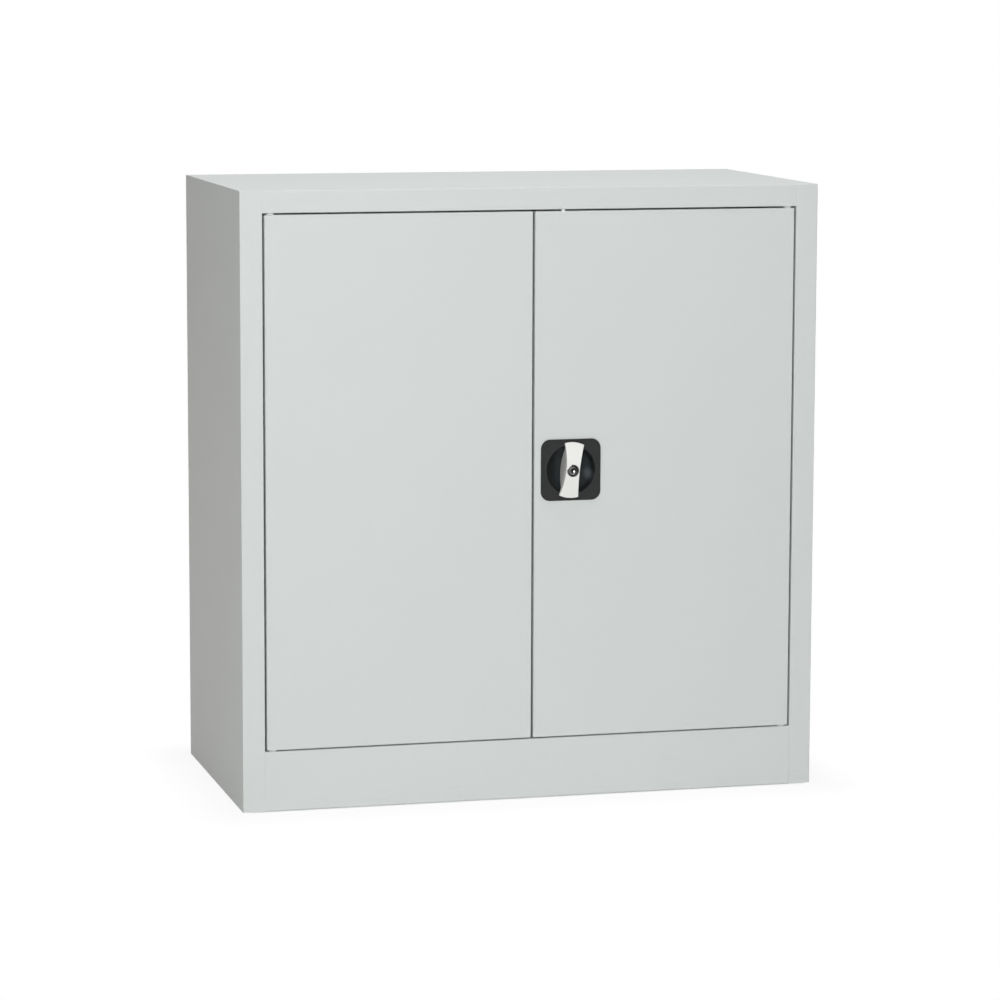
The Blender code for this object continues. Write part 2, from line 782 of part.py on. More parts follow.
def door_panel(side, body):
    """Door pan with its holes for the hinge bushes and, on the right, for the handle dish."""
    name = side_word(side) + "_door_panel"
    xs = sorted((side * DOOR_INNER_X, side * DOOR_OUTER_X))
    panel = folded_pan(
        name,
        (xs[0], FRONT, DOOR_BOTTOM),
        (xs[1], at_depth(DOOR_DEPTH), DOOR_TOP),
        (0, 1, 0),
        DOOR_LIP,
    )
    sleeve = PIN_RADIUS + RUNNING_GAP + BUSH_WALL
    for end, height in (("top", DOOR_TOP), ("bottom", DOOR_BOTTOM)):
        hole = cylinder(
            name + "_" + end + "_hole",
            (side * HINGE_X, HINGE_Y, height - OVERRUN),
            (side * HINGE_X, HINGE_Y, height + OVERRUN),
            sleeve + FIT,
        )
        cut(panel, hole)
    if side == RIGHT:
        opening = cylinder(
            "dish_opening",
            (HANDLE_X, FRONT - OVERRUN, HANDLE_HEIGHT),
            (HANDLE_X, FRONT + OVERRUN, HANDLE_HEIGHT),
            BOWL_RADIUS + DISH_WALL + DISH_HOLE_PLAY,
            BOWL_STEPS,
        )
        cut(panel, opening)
        for index, (x, z) in enumerate(screw_places(), start=1):
            hole = cylinder(
                "screw_hole_" + str(index),
                (x, FRONT - OVERRUN, z),
                (x, FRONT + OVERRUN, z),
                SCREW_RADIUS + FIT,
            )
            cut(panel, hole)
    return finish(panel, body, PAINT)


def door_stiffener(side, body):
    """Hat section that stands behind the door skin from near the bottom to near the top."""
    width = DOOR_OUTER_X - DOOR_INNER_X
    middle = side * (DOOR_OUTER_X - STIFFENER_SHARE * width)
    foot_y = at_depth(SHEET + FIT + SHEET)
    crown_y = foot_y + STIFFENER_DEPTH
    half_crown = STIFFENER_CROWN / 2
    half_width = half_crown + STIFFENER_FOOT
    profile = [
        (middle + half_width, foot_y),
        (middle + half_crown, foot_y),
        (middle + half_crown, crown_y),
        (middle - half_crown, crown_y),
        (middle - half_crown, foot_y),
        (middle - half_width, foot_y),
    ]
    stiffener = folded_strip(
        side_word(side) + "_door_stiffener",
        profile,
        "Z",
        DOOR_BOTTOM + STIFFENER_MARGIN,
        DOOR_TOP - STIFFENER_MARGIN,
    )
    return finish(stiffener, body, PAINT)


def screw_places():
    """World (x, z) of the four screws that hold the dish."""
    reach = PLATE_SIZE / 2 - SCREW_INSET
    return [(HANDLE_X + i * reach, HANDLE_HEIGHT + k * reach) for i in (-1, 1) for k in (-1, 1)]


def handle_dish(body):
    """Square plate with round corners and a bowl sunk through the door, in one moulding."""
    half = PLATE_SIZE / 2
    inner = half - PLATE_CORNER
    outline = []
    for index, (i, k) in enumerate(((1, 1), (-1, 1), (-1, -1), (1, -1))):
        start = index * QUARTER
        outline += arc((i * inner, k * inner), PLATE_CORNER, start, start + QUARTER)
    dish = prism("handle_dish", [outline], "Y", -PLATE_PROUD, -FIT, HANDLE_CENTRE)
    edge = dish.modifiers.new("edge", "BEVEL")
    edge.width = PLATE_EDGE
    edge.segments = 1
    edge.limit_method = "ANGLE"
    edge.angle_limit = SMOOTH_ANGLE * 2
    for index, (x, z) in enumerate(screw_places(), start=1):
        socket = cylinder(
            "screw_socket_" + str(index),
            (x, at_depth(SCREW_SKIN - PLATE_PROUD), z),
            (x, FRONT + OVERRUN, z),
            SCREW_RADIUS + FIT,
            ROUND_STEPS // 2,
        )
        cut(dish, socket)

    hub_radius = SPINDLE_RADIUS + FIT
    outer_radius = BOWL_RADIUS + DISH_WALL
    outer_depth = BOWL_DEPTH + DISH_WALL
    outer_end = math.acos(BOSS_RADIUS / outer_radius)
    inner_end = math.acos(hub_radius / BOWL_RADIUS)
    steps = [i / BOWL_RINGS for i in range(BOWL_RINGS + 1)]
    profile = [(outer_radius, PLATE_PROUD - DISH_RIM_STEP)]
    for step in steps[1:]:
        angle = step * outer_end
        profile += [(outer_radius * math.cos(angle), PLATE_PROUD - outer_depth * math.sin(angle))]
    profile += [(BOSS_RADIUS, -BOSS_END_DEPTH), (hub_radius, -BOSS_END_DEPTH)]
    for step in steps[::-1][:-1]:
        angle = step * inner_end
        profile += [(BOWL_RADIUS * math.cos(angle), PLATE_PROUD - BOWL_DEPTH * math.sin(angle))]
    profile += [(BOWL_RADIUS, PLATE_PROUD - DISH_RIM_STEP)]
    mouth = cylinder(
        "bowl_mouth",
        (HANDLE_X, FRONT - PLATE_PROUD - OVERRUN, HANDLE_HEIGHT),
        (HANDLE_X, FRONT + OVERRUN, HANDLE_HEIGHT),
        BOWL_RADIUS + DISH_WALL / 2,
        BOWL_STEPS,
    )
    cut(dish, mouth)
    bowl = turned("bowl", profile, HANDLE_CENTRE, (QUARTER, 0, 0), closed=True, steps=BOWL_STEPS)
    join(dish, bowl)
    return finish(dish, body, BLACK)


def dish_screw(index, x, z, body):
    """Pan-head screw driven from inside the door into the dish's plate."""
    seat = -SHEET - FIT
    tip = PLATE_PROUD - SCREW_SKIN - FIT
    head_radius = SCREW_RADIUS + SCREW_HEAD_RIM
    profile = [
        (0, tip),
        (SCREW_RADIUS, tip),
        (SCREW_RADIUS, seat),
        (head_radius, seat),
        (head_radius, seat - SCREW_HEAD),
        (0, seat - SCREW_HEAD),
    ]
    screw = turned("dish_screw_" + str(index), profile, (x, FRONT, z), (QUARTER, 0, 0))
    return finish(screw, body, STEEL)


def lever_outline():
    """Bow-tie seen from the front: drawn-in sides, ends on a circle about the axis."""
    radius = LEVER_LENGTH / 2
    half_end = LEVER_END_WIDTH / 2
    half_waist = LEVER_WAIST / 2
    spread = math.asin(half_end / radius)
    corner = radius * math.cos(spread)
    shares = [1 - 2 * i / (2 * ARC_STEPS) for i in range(2 * ARC_STEPS + 1)]
    side = [(corner * s, half_waist + (half_end - half_waist) * s * s) for s in shares]
    top = arc((0, 0), radius, -spread, spread)
    bottom = arc((0, 0), radius, math.pi - spread, math.pi + spread)
    return top[:-1] + side + bottom[1:-1] + [(-z, -x) for z, x in side[:-1]]


def lock_outline(radius):
    """Circle with a flat towards the upper left, as the lock barrel and its bore have."""
    reach = math.acos(BARREL_FLAT_SHARE)
    flat_angle = -QUARTER / 2
    return arc((0, 0), radius, flat_angle + reach, flat_angle + 2 * math.pi - reach, ROUND_STEPS)


def handle_lever(body):
    """Lever with a crowned front, a web that follows the bowl, and bores for lock and spindle."""
    underside = PLATE_PROUD + LEVER_CLEARANCE
    end_front = PLATE_PROUD + LEVER_END_RISE
    half = LEVER_LENGTH / 2
    lever = prism(
        "handle_lever",
        [lever_outline()],
        "Y",
        -end_front - LEVER_CROWN - OVERRUN,
        -underside,
        HANDLE_CENTRE,
        LEVER_TILT,
    )
    crown_radius = (half**2 + LEVER_CROWN**2) / (2 * LEVER_CROWN)
    crown_centre = -end_front - LEVER_CROWN + crown_radius
    spread = math.asin(half / crown_radius)
    reach = half + OVERRUN
    crown = arc((crown_centre, 0), crown_radius, math.pi + spread, math.pi - spread, 2 * ARC_STEPS)
    slab_outline = [(0, -reach), (-end_front, -reach), *crown, (-end_front, reach), (0, reach)]
    slab = prism(
        "lever_crown",
        [slab_outline],
        "X",
        -LEVER_END_WIDTH,
        LEVER_END_WIDTH,
        HANDLE_CENTRE,
        LEVER_TILT,
    )
    combine(lever, slab, "INTERSECT")

    fin_reach = BOWL_RADIUS - FIN_SIDE_GAP
    fin_depth = BOWL_DEPTH - FIN_BOTTOM_GAP
    fin_top = -underside - FIN_OVERLAP
    fin_outline = [(fin_top, fin_reach)]
    for i in range(2 * ARC_STEPS + 1):
        angle = math.pi * i / (2 * ARC_STEPS)
        depth = fin_depth * math.sin(angle) - PLATE_PROUD
        fin_outline += [(depth, fin_reach * math.cos(angle))]
    fin_outline += [(fin_top, -fin_reach)]
    fin = prism(
        "lever_web",
        [fin_outline],
        "X",
        -FIN_WIDTH / 2,
        FIN_WIDTH / 2,
        HANDLE_CENTRE,
        LEVER_TILT,
    )
    join(lever, fin)

    barrel_front = -HANDLE_PROUD
    barrel_bore = prism(
        "barrel_bore",
        [lock_outline(BARREL_RADIUS + FIT)],
        "Y",
        barrel_front - OVERRUN,
        barrel_front + BARREL_LENGTH + FIT,
        HANDLE_CENTRE,
    )
    fin_bottom = fin_depth - PLATE_PROUD
    spindle_bore = cylinder(
        "spindle_bore",
        (HANDLE_X, at_depth(fin_bottom - SPINDLE_GRIP - FIT), HANDLE_HEIGHT),
        (HANDLE_X, at_depth(fin_bottom + OVERRUN), HANDLE_HEIGHT),
        SPINDLE_RADIUS + FIT,
    )
    cut(lever, barrel_bore, spindle_bore)
    return finish(lever, body, SILVER)


def lock_barrel(body):
    """Barrel of the lock: round with one flat, bored for the plug."""
    barrel = prism(
        "lock_barrel",
        [lock_outline(BARREL_RADIUS), circle((0, 0), PLUG_RADIUS + RUNNING_GAP)],
        "Y",
        -HANDLE_PROUD,
        -HANDLE_PROUD + BARREL_LENGTH,
        HANDLE_CENTRE,
    )
    return finish(barrel, body, CHROME)


def lock_plug(body):
    """Plug with an upright key slot, a little below the face of the barrel."""
    front = HANDLE_PROUD - PLUG_RECESS
    back = HANDLE_PROUD - BARREL_LENGTH
    profile = [(0, front), (PLUG_RADIUS, front), (PLUG_RADIUS, back), (0, back)]
    plug = turned("lock_plug", profile, HANDLE_CENTRE, (QUARTER, 0, 0))
    slot = box(
        "key_slot",
        (
            HANDLE_X - KEY_SLOT_WIDTH / 2,
            FRONT - HANDLE_PROUD - OVERRUN,
            HANDLE_HEIGHT - KEY_SLOT_LENGTH / 2,
        ),
        (
            HANDLE_X + KEY_SLOT_WIDTH / 2,
            FRONT - HANDLE_PROUD + KEY_SLOT_DEPTH,
            HANDLE_HEIGHT + KEY_SLOT_LENGTH / 2,
        ),
    )
    cut(plug, slot)
    return finish(plug, body, CHROME)


def handle_spindle(body):
    """Spindle from the lever through the dish, squared at the end that carries the cam."""
    start = BOWL_DEPTH - FIN_BOTTOM_GAP - PLATE_PROUD - SPINDLE_GRIP
    spindle = cylinder(
        "handle_spindle",
        (HANDLE_X, at_depth(start), HANDLE_HEIGHT),
        (HANDLE_X, at_depth(CAM_FRONT_DEPTH - FIT), HANDLE_HEIGHT),
        SPINDLE_RADIUS,
    )
    half = SPINDLE_SQUARE / 2
    square = box(
        "spindle_square",
        (HANDLE_X - half, at_depth(CAM_FRONT_DEPTH - OVERRUN), HANDLE_HEIGHT - half),
        (HANDLE_X + half, at_depth(CAM_BACK_DEPTH), HANDLE_HEIGHT + half),
    )
    join(spindle, square)
    bore = cylinder(
        "cam_screw_bore",
        (HANDLE_X, at_depth(CAM_BACK_DEPTH + OVERRUN), HANDLE_HEIGHT),
        (HANDLE_X, at_depth(CAM_BACK_DEPTH - CAM_SCREW_LENGTH - FIT), HANDLE_HEIGHT),
        CAM_SCREW_RADIUS + FIT,
    )
    cut(spindle, bore)
    return finish(spindle, body, STEEL)


def lock_cam(body):
    """Cam with a drive pin for each rod and a joggled tongue that locks the left door."""
    bar = turned_by(stadium((0, 0), CAM_THROW, CAM_END_RADIUS), QUARTER / 2)
    cam = prism("lock_cam", [bar], "Y", CAM_FRONT_DEPTH, CAM_BACK_DEPTH, HANDLE_CENTRE)
    step = (CAM_SHEET - TONGUE_SHEET) / 2
    root_y = at_depth(CAM_FRONT_DEPTH + step)
    tip_y = at_depth(DOOR_DEPTH + TONGUE_PLAY)
    reach = HANDLE_X + MIDDLE_GAP / 2 + TONGUE_CATCH
    joggle = BOWL_RADIUS + DISH_WALL + TONGUE_CLEARANCE
    path = [
        (root_y, HANDLE_HEIGHT),
        (root_y, HANDLE_HEIGHT - joggle),
        (tip_y, HANDLE_HEIGHT - joggle - (root_y - tip_y)),
        (tip_y, HANDLE_HEIGHT - reach),
    ]
    tongue = folded_strip(
        "cam_tongue",
        path,
        "X",
        HANDLE_X - TONGUE_WIDTH / 2,
        HANDLE_X + TONGUE_WIDTH / 2,
        TONGUE_SHEET + BEND_RADIUS,
        TONGUE_SHEET,
    )
    join(cam, tongue)
    pin_offset = CAM_THROW * math.sin(QUARTER / 2)
    for word, sign in (("upper", -1), ("lower", 1)):
        x = HANDLE_X + sign * pin_offset
        z = HANDLE_HEIGHT + sign * pin_offset
        pin = cylinder(
            word + "_drive_pin",
            (x, at_depth(CAM_FRONT_DEPTH + CAM_SHEET / 2), z),
            (x, at_depth(ROD_FOOT_DEPTH + ROD_FOOT_SHEET + CAM_PIN_END), z),
            CAM_PIN_RADIUS,
        )
        join(cam, pin)
    half = SPINDLE_SQUARE / 2 + FIT
    hole = box(
        "cam_square_hole",
        (HANDLE_X - half, at_depth(CAM_FRONT_DEPTH - OVERRUN), HANDLE_HEIGHT - half),
        (HANDLE_X + half, at_depth(CAM_BACK_DEPTH + OVERRUN), HANDLE_HEIGHT + half),
    )
    cut(cam, hole)
    return finish(cam, body, STEEL)


def cam_screw(body):
    """Screw that holds the cam on the spindle's square."""
    head_radius = CAM_SCREW_RADIUS + CAM_SCREW_HEAD_RIM
    seat = -CAM_BACK_DEPTH - FIT
    profile = [
        (0, -CAM_BACK_DEPTH + CAM_SCREW_LENGTH),
        (CAM_SCREW_RADIUS, -CAM_BACK_DEPTH + CAM_SCREW_LENGTH),
        (CAM_SCREW_RADIUS, seat),
        (head_radius, seat),
        (head_radius, seat - CAM_SCREW_HEAD),
        (0, seat - CAM_SCREW_HEAD),
    ]
    screw = turned("cam_screw", profile, HANDLE_CENTRE, (QUARTER, 0, 0))
    return finish(screw, body, STEEL)


def bolt_rod(name, direction, body):
    """Round rod with a slotted foot. The lower rod is the upper one turned half round."""
    near = CAM_THROW * math.cos(QUARTER / 2)
    slot_x = -(CAM_THROW + near) / 2
    slot_half = (CAM_THROW - near) / 2 + SLOT_END_PLAY
    inner_x = slot_x + slot_half + SLOT_HALF_HEIGHT + ROD_FOOT_BORDER
    outer_x = slot_x - slot_half - SLOT_HALF_HEIGHT - ROD_FOOT_BORDER
    low_z = -near - SLOT_HALF_HEIGHT - ROD_FOOT_BORDER
    neck_z = -low_z + ROD_FOOT_SPACING
    head_x = ROD_RADIUS + ROD_FOOT_BORDER
    head_z = neck_z + ROD_HEAD_HEIGHT
    outline = [
        (outer_x, low_z),
        (inner_x, low_z),
        (inner_x, neck_z),
        (head_x, neck_z),
        (head_x, head_z),
        (outer_x, head_z),
    ]
    slot = stadium((slot_x, -near), slot_half, SLOT_HALF_HEIGHT)
    loops = [[(direction * z, direction * x) for x, z in loop] for loop in (outline, slot)]
    foot_back = ROD_FOOT_DEPTH + ROD_FOOT_SHEET
    foot = prism(name, loops, "Y", ROD_FOOT_DEPTH, foot_back, HANDLE_CENTRE)

    frame_z = HEIGHT - RAIL_FACE if direction > 0 else PLINTH_FACE
    tip = abs(frame_z - HANDLE_HEIGHT) - ROD_TIP_GAP
    start = neck_z + OVERRUN
    profile = [
        (0, tip),
        (ROD_RADIUS - ROD_CHAMFER, tip),
        (ROD_RADIUS, tip - ROD_CHAMFER),
        (ROD_RADIUS, start),
        (0, start),
    ]
    shaft = turned(
        name + "_shaft",
        profile,
        (HANDLE_X, at_depth(ROD_DEPTH), HANDLE_HEIGHT),
        (0 if direction > 0 else math.pi, 0, 0),
        steps=ROUND_STEPS // 2,
    )
    join(foot, shaft)
    return finish(foot, body, STEEL)


def rod_guide(name, direction, body):
    """Nylon block behind the door's lip, with a bore that keeps the rod in line."""
    bore = ROD_RADIUS + GUIDE_BORE_PLAY
    block = bore + GUIDE_WALL
    ear = block + GUIDE_EAR
    base = DOOR_DEPTH + FIT
    rod_y = at_depth(ROD_DEPTH)
    # The outline's coordinates are X and Y, so it is extruded along Z.
    outline = [
        (HANDLE_X - ear, FRONT + base),
        (HANDLE_X + ear, FRONT + base),
        (HANDLE_X + ear, FRONT + base + GUIDE_BASE),
        (HANDLE_X + block, FRONT + base + GUIDE_BASE),
        *arc((HANDLE_X, rod_y), block, 0, math.pi),
        (HANDLE_X - block, FRONT + base + GUIDE_BASE),
        (HANDLE_X - ear, FRONT + base + GUIDE_BASE),
    ]
    hole = circle((HANDLE_X, rod_y), bore, ROUND_STEPS // 2)
    margin = (DOOR_LIP - GUIDE_HEIGHT) / 2
    if direction > 0:
        low, high = DOOR_TOP - margin - GUIDE_HEIGHT, DOOR_TOP - margin
    else:
        low, high = DOOR_BOTTOM + margin, DOOR_BOTTOM + margin + GUIDE_HEIGHT
    guide = prism(name, [outline, hole], "Z", low, high)
    return finish(guide, body, NYLON)


def build_carcass():
    for side in (LEFT, RIGHT):
        side_panel(side)
    top_panel()
    plinth_panel()
    floor_panel()
    back_panel()
    for side in (LEFT, RIGHT):
        for row in ("front", "rear"):
            shelf_upright(side, row)
    for word, share in zip(("lower", "upper"), SHELF_SLOT_SHARES):
        shelf(word + "_shelf", share)
        for side in (LEFT, RIGHT):
            for row in ("front", "rear"):
                name = word + "_" + side_word(side) + "_" + row + "_shelf_clip"
                shelf_clip(name, side, row, share)
    for side in (LEFT, RIGHT):
        for end in ("top", "bottom"):
            hinge_pin(side, end)


def build_door(side, body):
    door_panel(side, body)
    door_stiffener(side, body)
    for end in ("top", "bottom"):
        hinge_bush(side, end, body)


def build_handle(door):
    """The dish on the door, and the lever, lock, cam and rods that move in it."""
    handle_dish(door)
    for index, (x, z) in enumerate(screw_places(), start=1):
        dish_screw(index, x, z, door)
    handle = new_body("handle_axis", HANDLE_CENTRE, door)
    handle_lever(handle)
    lock_barrel(handle)
    handle_spindle(handle)
    lock_cam(handle)
    cam_screw(handle)
    lock_plug(new_body("lock_plug_axis", HANDLE_CENTRE, handle))
    rod_place = (HANDLE_X, at_depth(ROD_DEPTH), HANDLE_HEIGHT)
    for word, direction in (("upper", 1), ("lower", -1)):
        rod_guide(word + "_rod_guide", direction, door)
        bolt_rod(word + "_rod", direction, new_body(word + "_rod_axis", rod_place, door))


def main():
    build_carcass()
    build_door(LEFT, new_body("left_door_axis", LEFT_HINGE))
    right_door = new_body("right_door_axis", RIGHT_HINGE)
    build_door(RIGHT, right_door)
    build_handle(right_door)


main()
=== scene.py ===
"""The looks of a two-door sheet-steel cupboard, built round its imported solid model.

Metres, +Z up. The front faces -Y, and +X is the right-hand side as seen from the front.
"Depth" is measured backwards from the plane of the cupboard's front.
"""

import logging
import math
from abc import ABC, abstractmethod
from dataclasses import dataclass, field
from enum import Enum
from functools import partial
from typing import Callable, Sequence, Union

import bmesh
import bpy
from mathutils import Matrix, Vector


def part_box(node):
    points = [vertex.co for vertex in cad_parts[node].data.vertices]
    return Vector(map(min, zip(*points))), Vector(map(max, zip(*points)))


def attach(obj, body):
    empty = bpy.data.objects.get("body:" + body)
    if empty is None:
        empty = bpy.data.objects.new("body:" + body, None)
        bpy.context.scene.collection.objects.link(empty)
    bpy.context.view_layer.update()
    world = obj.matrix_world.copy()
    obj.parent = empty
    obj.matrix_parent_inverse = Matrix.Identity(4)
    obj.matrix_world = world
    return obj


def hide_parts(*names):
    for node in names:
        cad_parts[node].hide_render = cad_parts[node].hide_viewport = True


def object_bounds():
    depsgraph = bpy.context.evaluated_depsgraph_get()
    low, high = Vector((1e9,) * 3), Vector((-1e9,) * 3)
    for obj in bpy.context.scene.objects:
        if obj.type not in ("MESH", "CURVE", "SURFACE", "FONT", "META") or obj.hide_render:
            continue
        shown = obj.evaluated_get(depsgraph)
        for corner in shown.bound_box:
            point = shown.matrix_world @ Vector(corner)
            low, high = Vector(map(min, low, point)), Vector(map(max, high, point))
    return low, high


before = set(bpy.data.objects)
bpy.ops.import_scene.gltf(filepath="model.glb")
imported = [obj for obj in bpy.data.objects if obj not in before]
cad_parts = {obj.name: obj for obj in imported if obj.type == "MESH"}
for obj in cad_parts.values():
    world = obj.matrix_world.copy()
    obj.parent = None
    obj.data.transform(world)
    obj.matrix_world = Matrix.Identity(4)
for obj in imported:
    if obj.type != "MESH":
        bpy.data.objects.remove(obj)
CAD_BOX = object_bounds()

log = logging.getLogger("cupboard")

Colour = tuple[float, float, float]
Place = tuple[float, float, float]
Point = tuple[float, float]
Reach = Callable[[float], float]


class Named(Enum):
    """A choice whose name is part of the names of nodes."""

    @property
    def word(self) -> str:
        """The choice as node names give it."""
        return self.name.lower()


class Side(Named):
    """The two sides of the cupboard, with the sign of their X."""

    LEFT = -1
    RIGHT = 1


class End(Named):
    """The two hinged corners of a door, with the sign of the way outwards."""

    TOP = 1
    BOTTOM = -1


class Level(Named):
    """The lower and the upper one of a pair, with the sign of their Z from the middle."""

    LOWER = -1
    UPPER = 1


class Body(Enum):
    """The bodies that pieces ride on."""

    CARCASS = "carcass"
    LEFT_DOOR = "left_door"
    RIGHT_DOOR = "right_door"
    HANDLE = "handle"
    LOCK_PLUG = "lock_plug"
    UPPER_ROD = "upper_rod"
    LOWER_ROD = "lower_rod"


DOORS = {Side.LEFT: Body.LEFT_DOOR, Side.RIGHT: Body.RIGHT_DOOR}
RODS = {Level.UPPER: Body.UPPER_ROD, Level.LOWER: Body.LOWER_ROD}

# Shader maths


class Socket:
    """A shader output that takes part in Python sums, each of which adds a Math node."""

    def __init__(self, graph: "Graph", link: bpy.types.NodeSocket) -> None:
        """Wrap the output of a node in a graph."""
        self.graph = graph
        self.link = link

    def _sum(self, operation: str, first: "Value", second: "Value") -> "Socket":
        """Add a Math node for one operation."""
        return self.graph.add("ShaderNodeMath", {"operation": operation}, {0: first, 1: second})

    def __add__(self, other: "Value") -> "Socket":
        """This value plus another."""
        return self._sum("ADD", self, other)

    def __radd__(self, other: "Value") -> "Socket":
        """Another value plus this one."""
        return self._sum("ADD", other, self)

    def __sub__(self, other: "Value") -> "Socket":
        """This value less another."""
        return self._sum("SUBTRACT", self, other)

    def __rsub__(self, other: "Value") -> "Socket":
        """Another value less this one."""
        return self._sum("SUBTRACT", other, self)

    def __mul__(self, other: "Value") -> "Socket":
        """This value times another."""
        return self._sum("MULTIPLY", self, other)

    def __rmul__(self, other: "Value") -> "Socket":
        """Another value times this one."""
        return self._sum("MULTIPLY", other, self)

    def __abs__(self) -> "Socket":
        """This value without its sign."""
        return self._sum("ABSOLUTE", self, 0.0)

    def most(self, other: "Value") -> "Socket":
        """The larger of this value and another."""
        return self._sum("MAXIMUM", self, other)

    def length(self, other: "Socket") -> "Socket":
        """The length of an arrow that has this value and another as its sides."""
        return self._sum("POWER", self * self + other * other, 0.5)

    def ramp(self, low: float, high: float, start: float = 0.0, end: float = 1.0) -> "Socket":
        """A smooth step, whose value is start up to low, and end from high on."""
        sockets = {"Value": self, "From Min": low, "From Max": high, "To Min": start, "To Max": end}
        return self.graph.add("ShaderNodeMapRange", {"interpolation_type": "SMOOTHSTEP"}, sockets)


Value = Union[float, Socket]
Tint = Union[Colour, Socket]


class Graph:
    """The node tree of a material or of the world, written as expressions."""

    def __init__(self, tree: bpy.types.NodeTree) -> None:
        """Start on a tree that has only the nodes that Blender gives it."""
        self.tree = tree

    def node(self, kind: str, settings: dict, sockets: dict) -> bpy.types.Node:
        """Add a node.

        Args:
            kind: The node's type.
            settings: Its own settings, set before the sockets.
            sockets: Values or Sockets by the input's name or index.

        Returns:
            The node.
        """
        made = self.tree.nodes.new(kind)
        for key, value in settings.items():
            setattr(made, key, value)
        for key, value in sockets.items():
            if isinstance(value, Socket):
                self.tree.links.new(value.link, made.inputs[key])
            else:
                made.inputs[key].default_value = value
        return made

    def add(self, kind: str, settings: dict, sockets: dict, output: Union[int, str] = 0) -> Socket:
        """Add a node, as node() does, and take the output with a name or an index."""
        return Socket(self, self.node(kind, settings, sockets).outputs[output])

    def show(self, shader: Socket, output: str) -> None:
        """Have an output node show a shader."""
        self.tree.links.new(shader.link, self.tree.nodes[output].inputs["Surface"])

    def place(self) -> Socket:
        """The point on the surface, in metres."""
        return self.add("ShaderNodeTexCoord", {}, {}, "Object")

    def moved(self, centre: Place = (0, 0, 0), turn: float = 0.0, stretch: Place = (1, 1, 1)) -> Socket:
        """The point on the surface, measured from a centre.

        Args:
            centre: The new origin.
            turn: A turn about Y, in radians.
            stretch: What each coordinate is multiplied by.

        Returns:
            The point.
        """
        sides = {0: self.place(), 1: centre}
        shifted = self.add("ShaderNodeVectorMath", {"operation": "SUBTRACT"}, sides)
        sockets = {"Vector": shifted, "Rotation": (0, turn, 0), "Scale": stretch}
        return self.add("ShaderNodeMapping", {}, sockets)

    def split(self, point: Socket) -> tuple[Socket, Socket, Socket]:
        """The three coordinates of a point."""
        parts = self.node("ShaderNodeSeparateXYZ", {}, {0: point})
        return tuple(Socket(self, output) for output in parts.outputs)

    def noise(self, point: Socket, size: float, detail: float = 2.0, rough: float = 0.5) -> Socket:
        """Noise from 0 to 1 in clouds of a size in metres, with finer layers and their strength."""
        sockets = {"Vector": point, "Scale": 1 / size, "Detail": detail, "Roughness": rough}
        return self.add("ShaderNodeTexNoise", {}, sockets)

    def scaled(self, colour: Tint, share: Value) -> Socket:
        """A colour made lighter or darker."""
        return self.add("ShaderNodeVectorMath", {"operation": "SCALE"}, {0: colour, "Scale": share})

    def mixed(self, share: Value, first: Tint, second: Tint) -> Socket:
        """Two colours mixed, with a share of the second from 0 to 1."""
        first, second = (c if isinstance(c, Socket) else (*c, 1.0) for c in (first, second))
        return self.add("ShaderNodeMix", {"data_type": "RGBA"}, {0: share, 6: first, 7: second}, 2)

    def bump(self, height: Socket, strength: float, distance: float) -> Socket:
        """A normal bent by a height, of which 1 stands for a distance in metres."""
        sockets = {"Strength": strength, "Distance": distance, "Height": height}
        return self.add("ShaderNodeBump", {}, sockets)


# Finishes


@dataclass(frozen=True)
class Finish(ABC):
    """A finish that pieces are dressed in.

    Its name, the record's slot and its plain colour are shared by every kind of finish.
    """

    name: str
    slot: str
    colour: Colour

    @abstractmethod
    def constants(self) -> dict:
        """Sockets of the shader that are the same all over."""

    @abstractmethod
    def paint(self, graph: Graph) -> dict:
        """Work out what changes over the surface.

        Args:
            graph: The material's graph.

        Returns:
            Sockets by the shader's input name.
        """

    def material(self) -> bpy.types.Material:
        """Make the finish's material, or find it if it has been made.

        Returns:
            The material.
        """
        found = bpy.data.materials.get(self.name)
        if found:
            return found
        made = bpy.data.materials.new(self.name)
        made.use_nodes = True
        graph = Graph(made.node_tree)
        shader = made.node_tree.nodes["Principled BSDF"]
        for key, value in self.constants().items():
            shader.inputs[key].default_value = value
        for key, value in self.paint(graph).items():
            graph.tree.links.new(value.link, shader.inputs[key])
        made.diffuse_color = (*self.colour, 1.0)
        return made


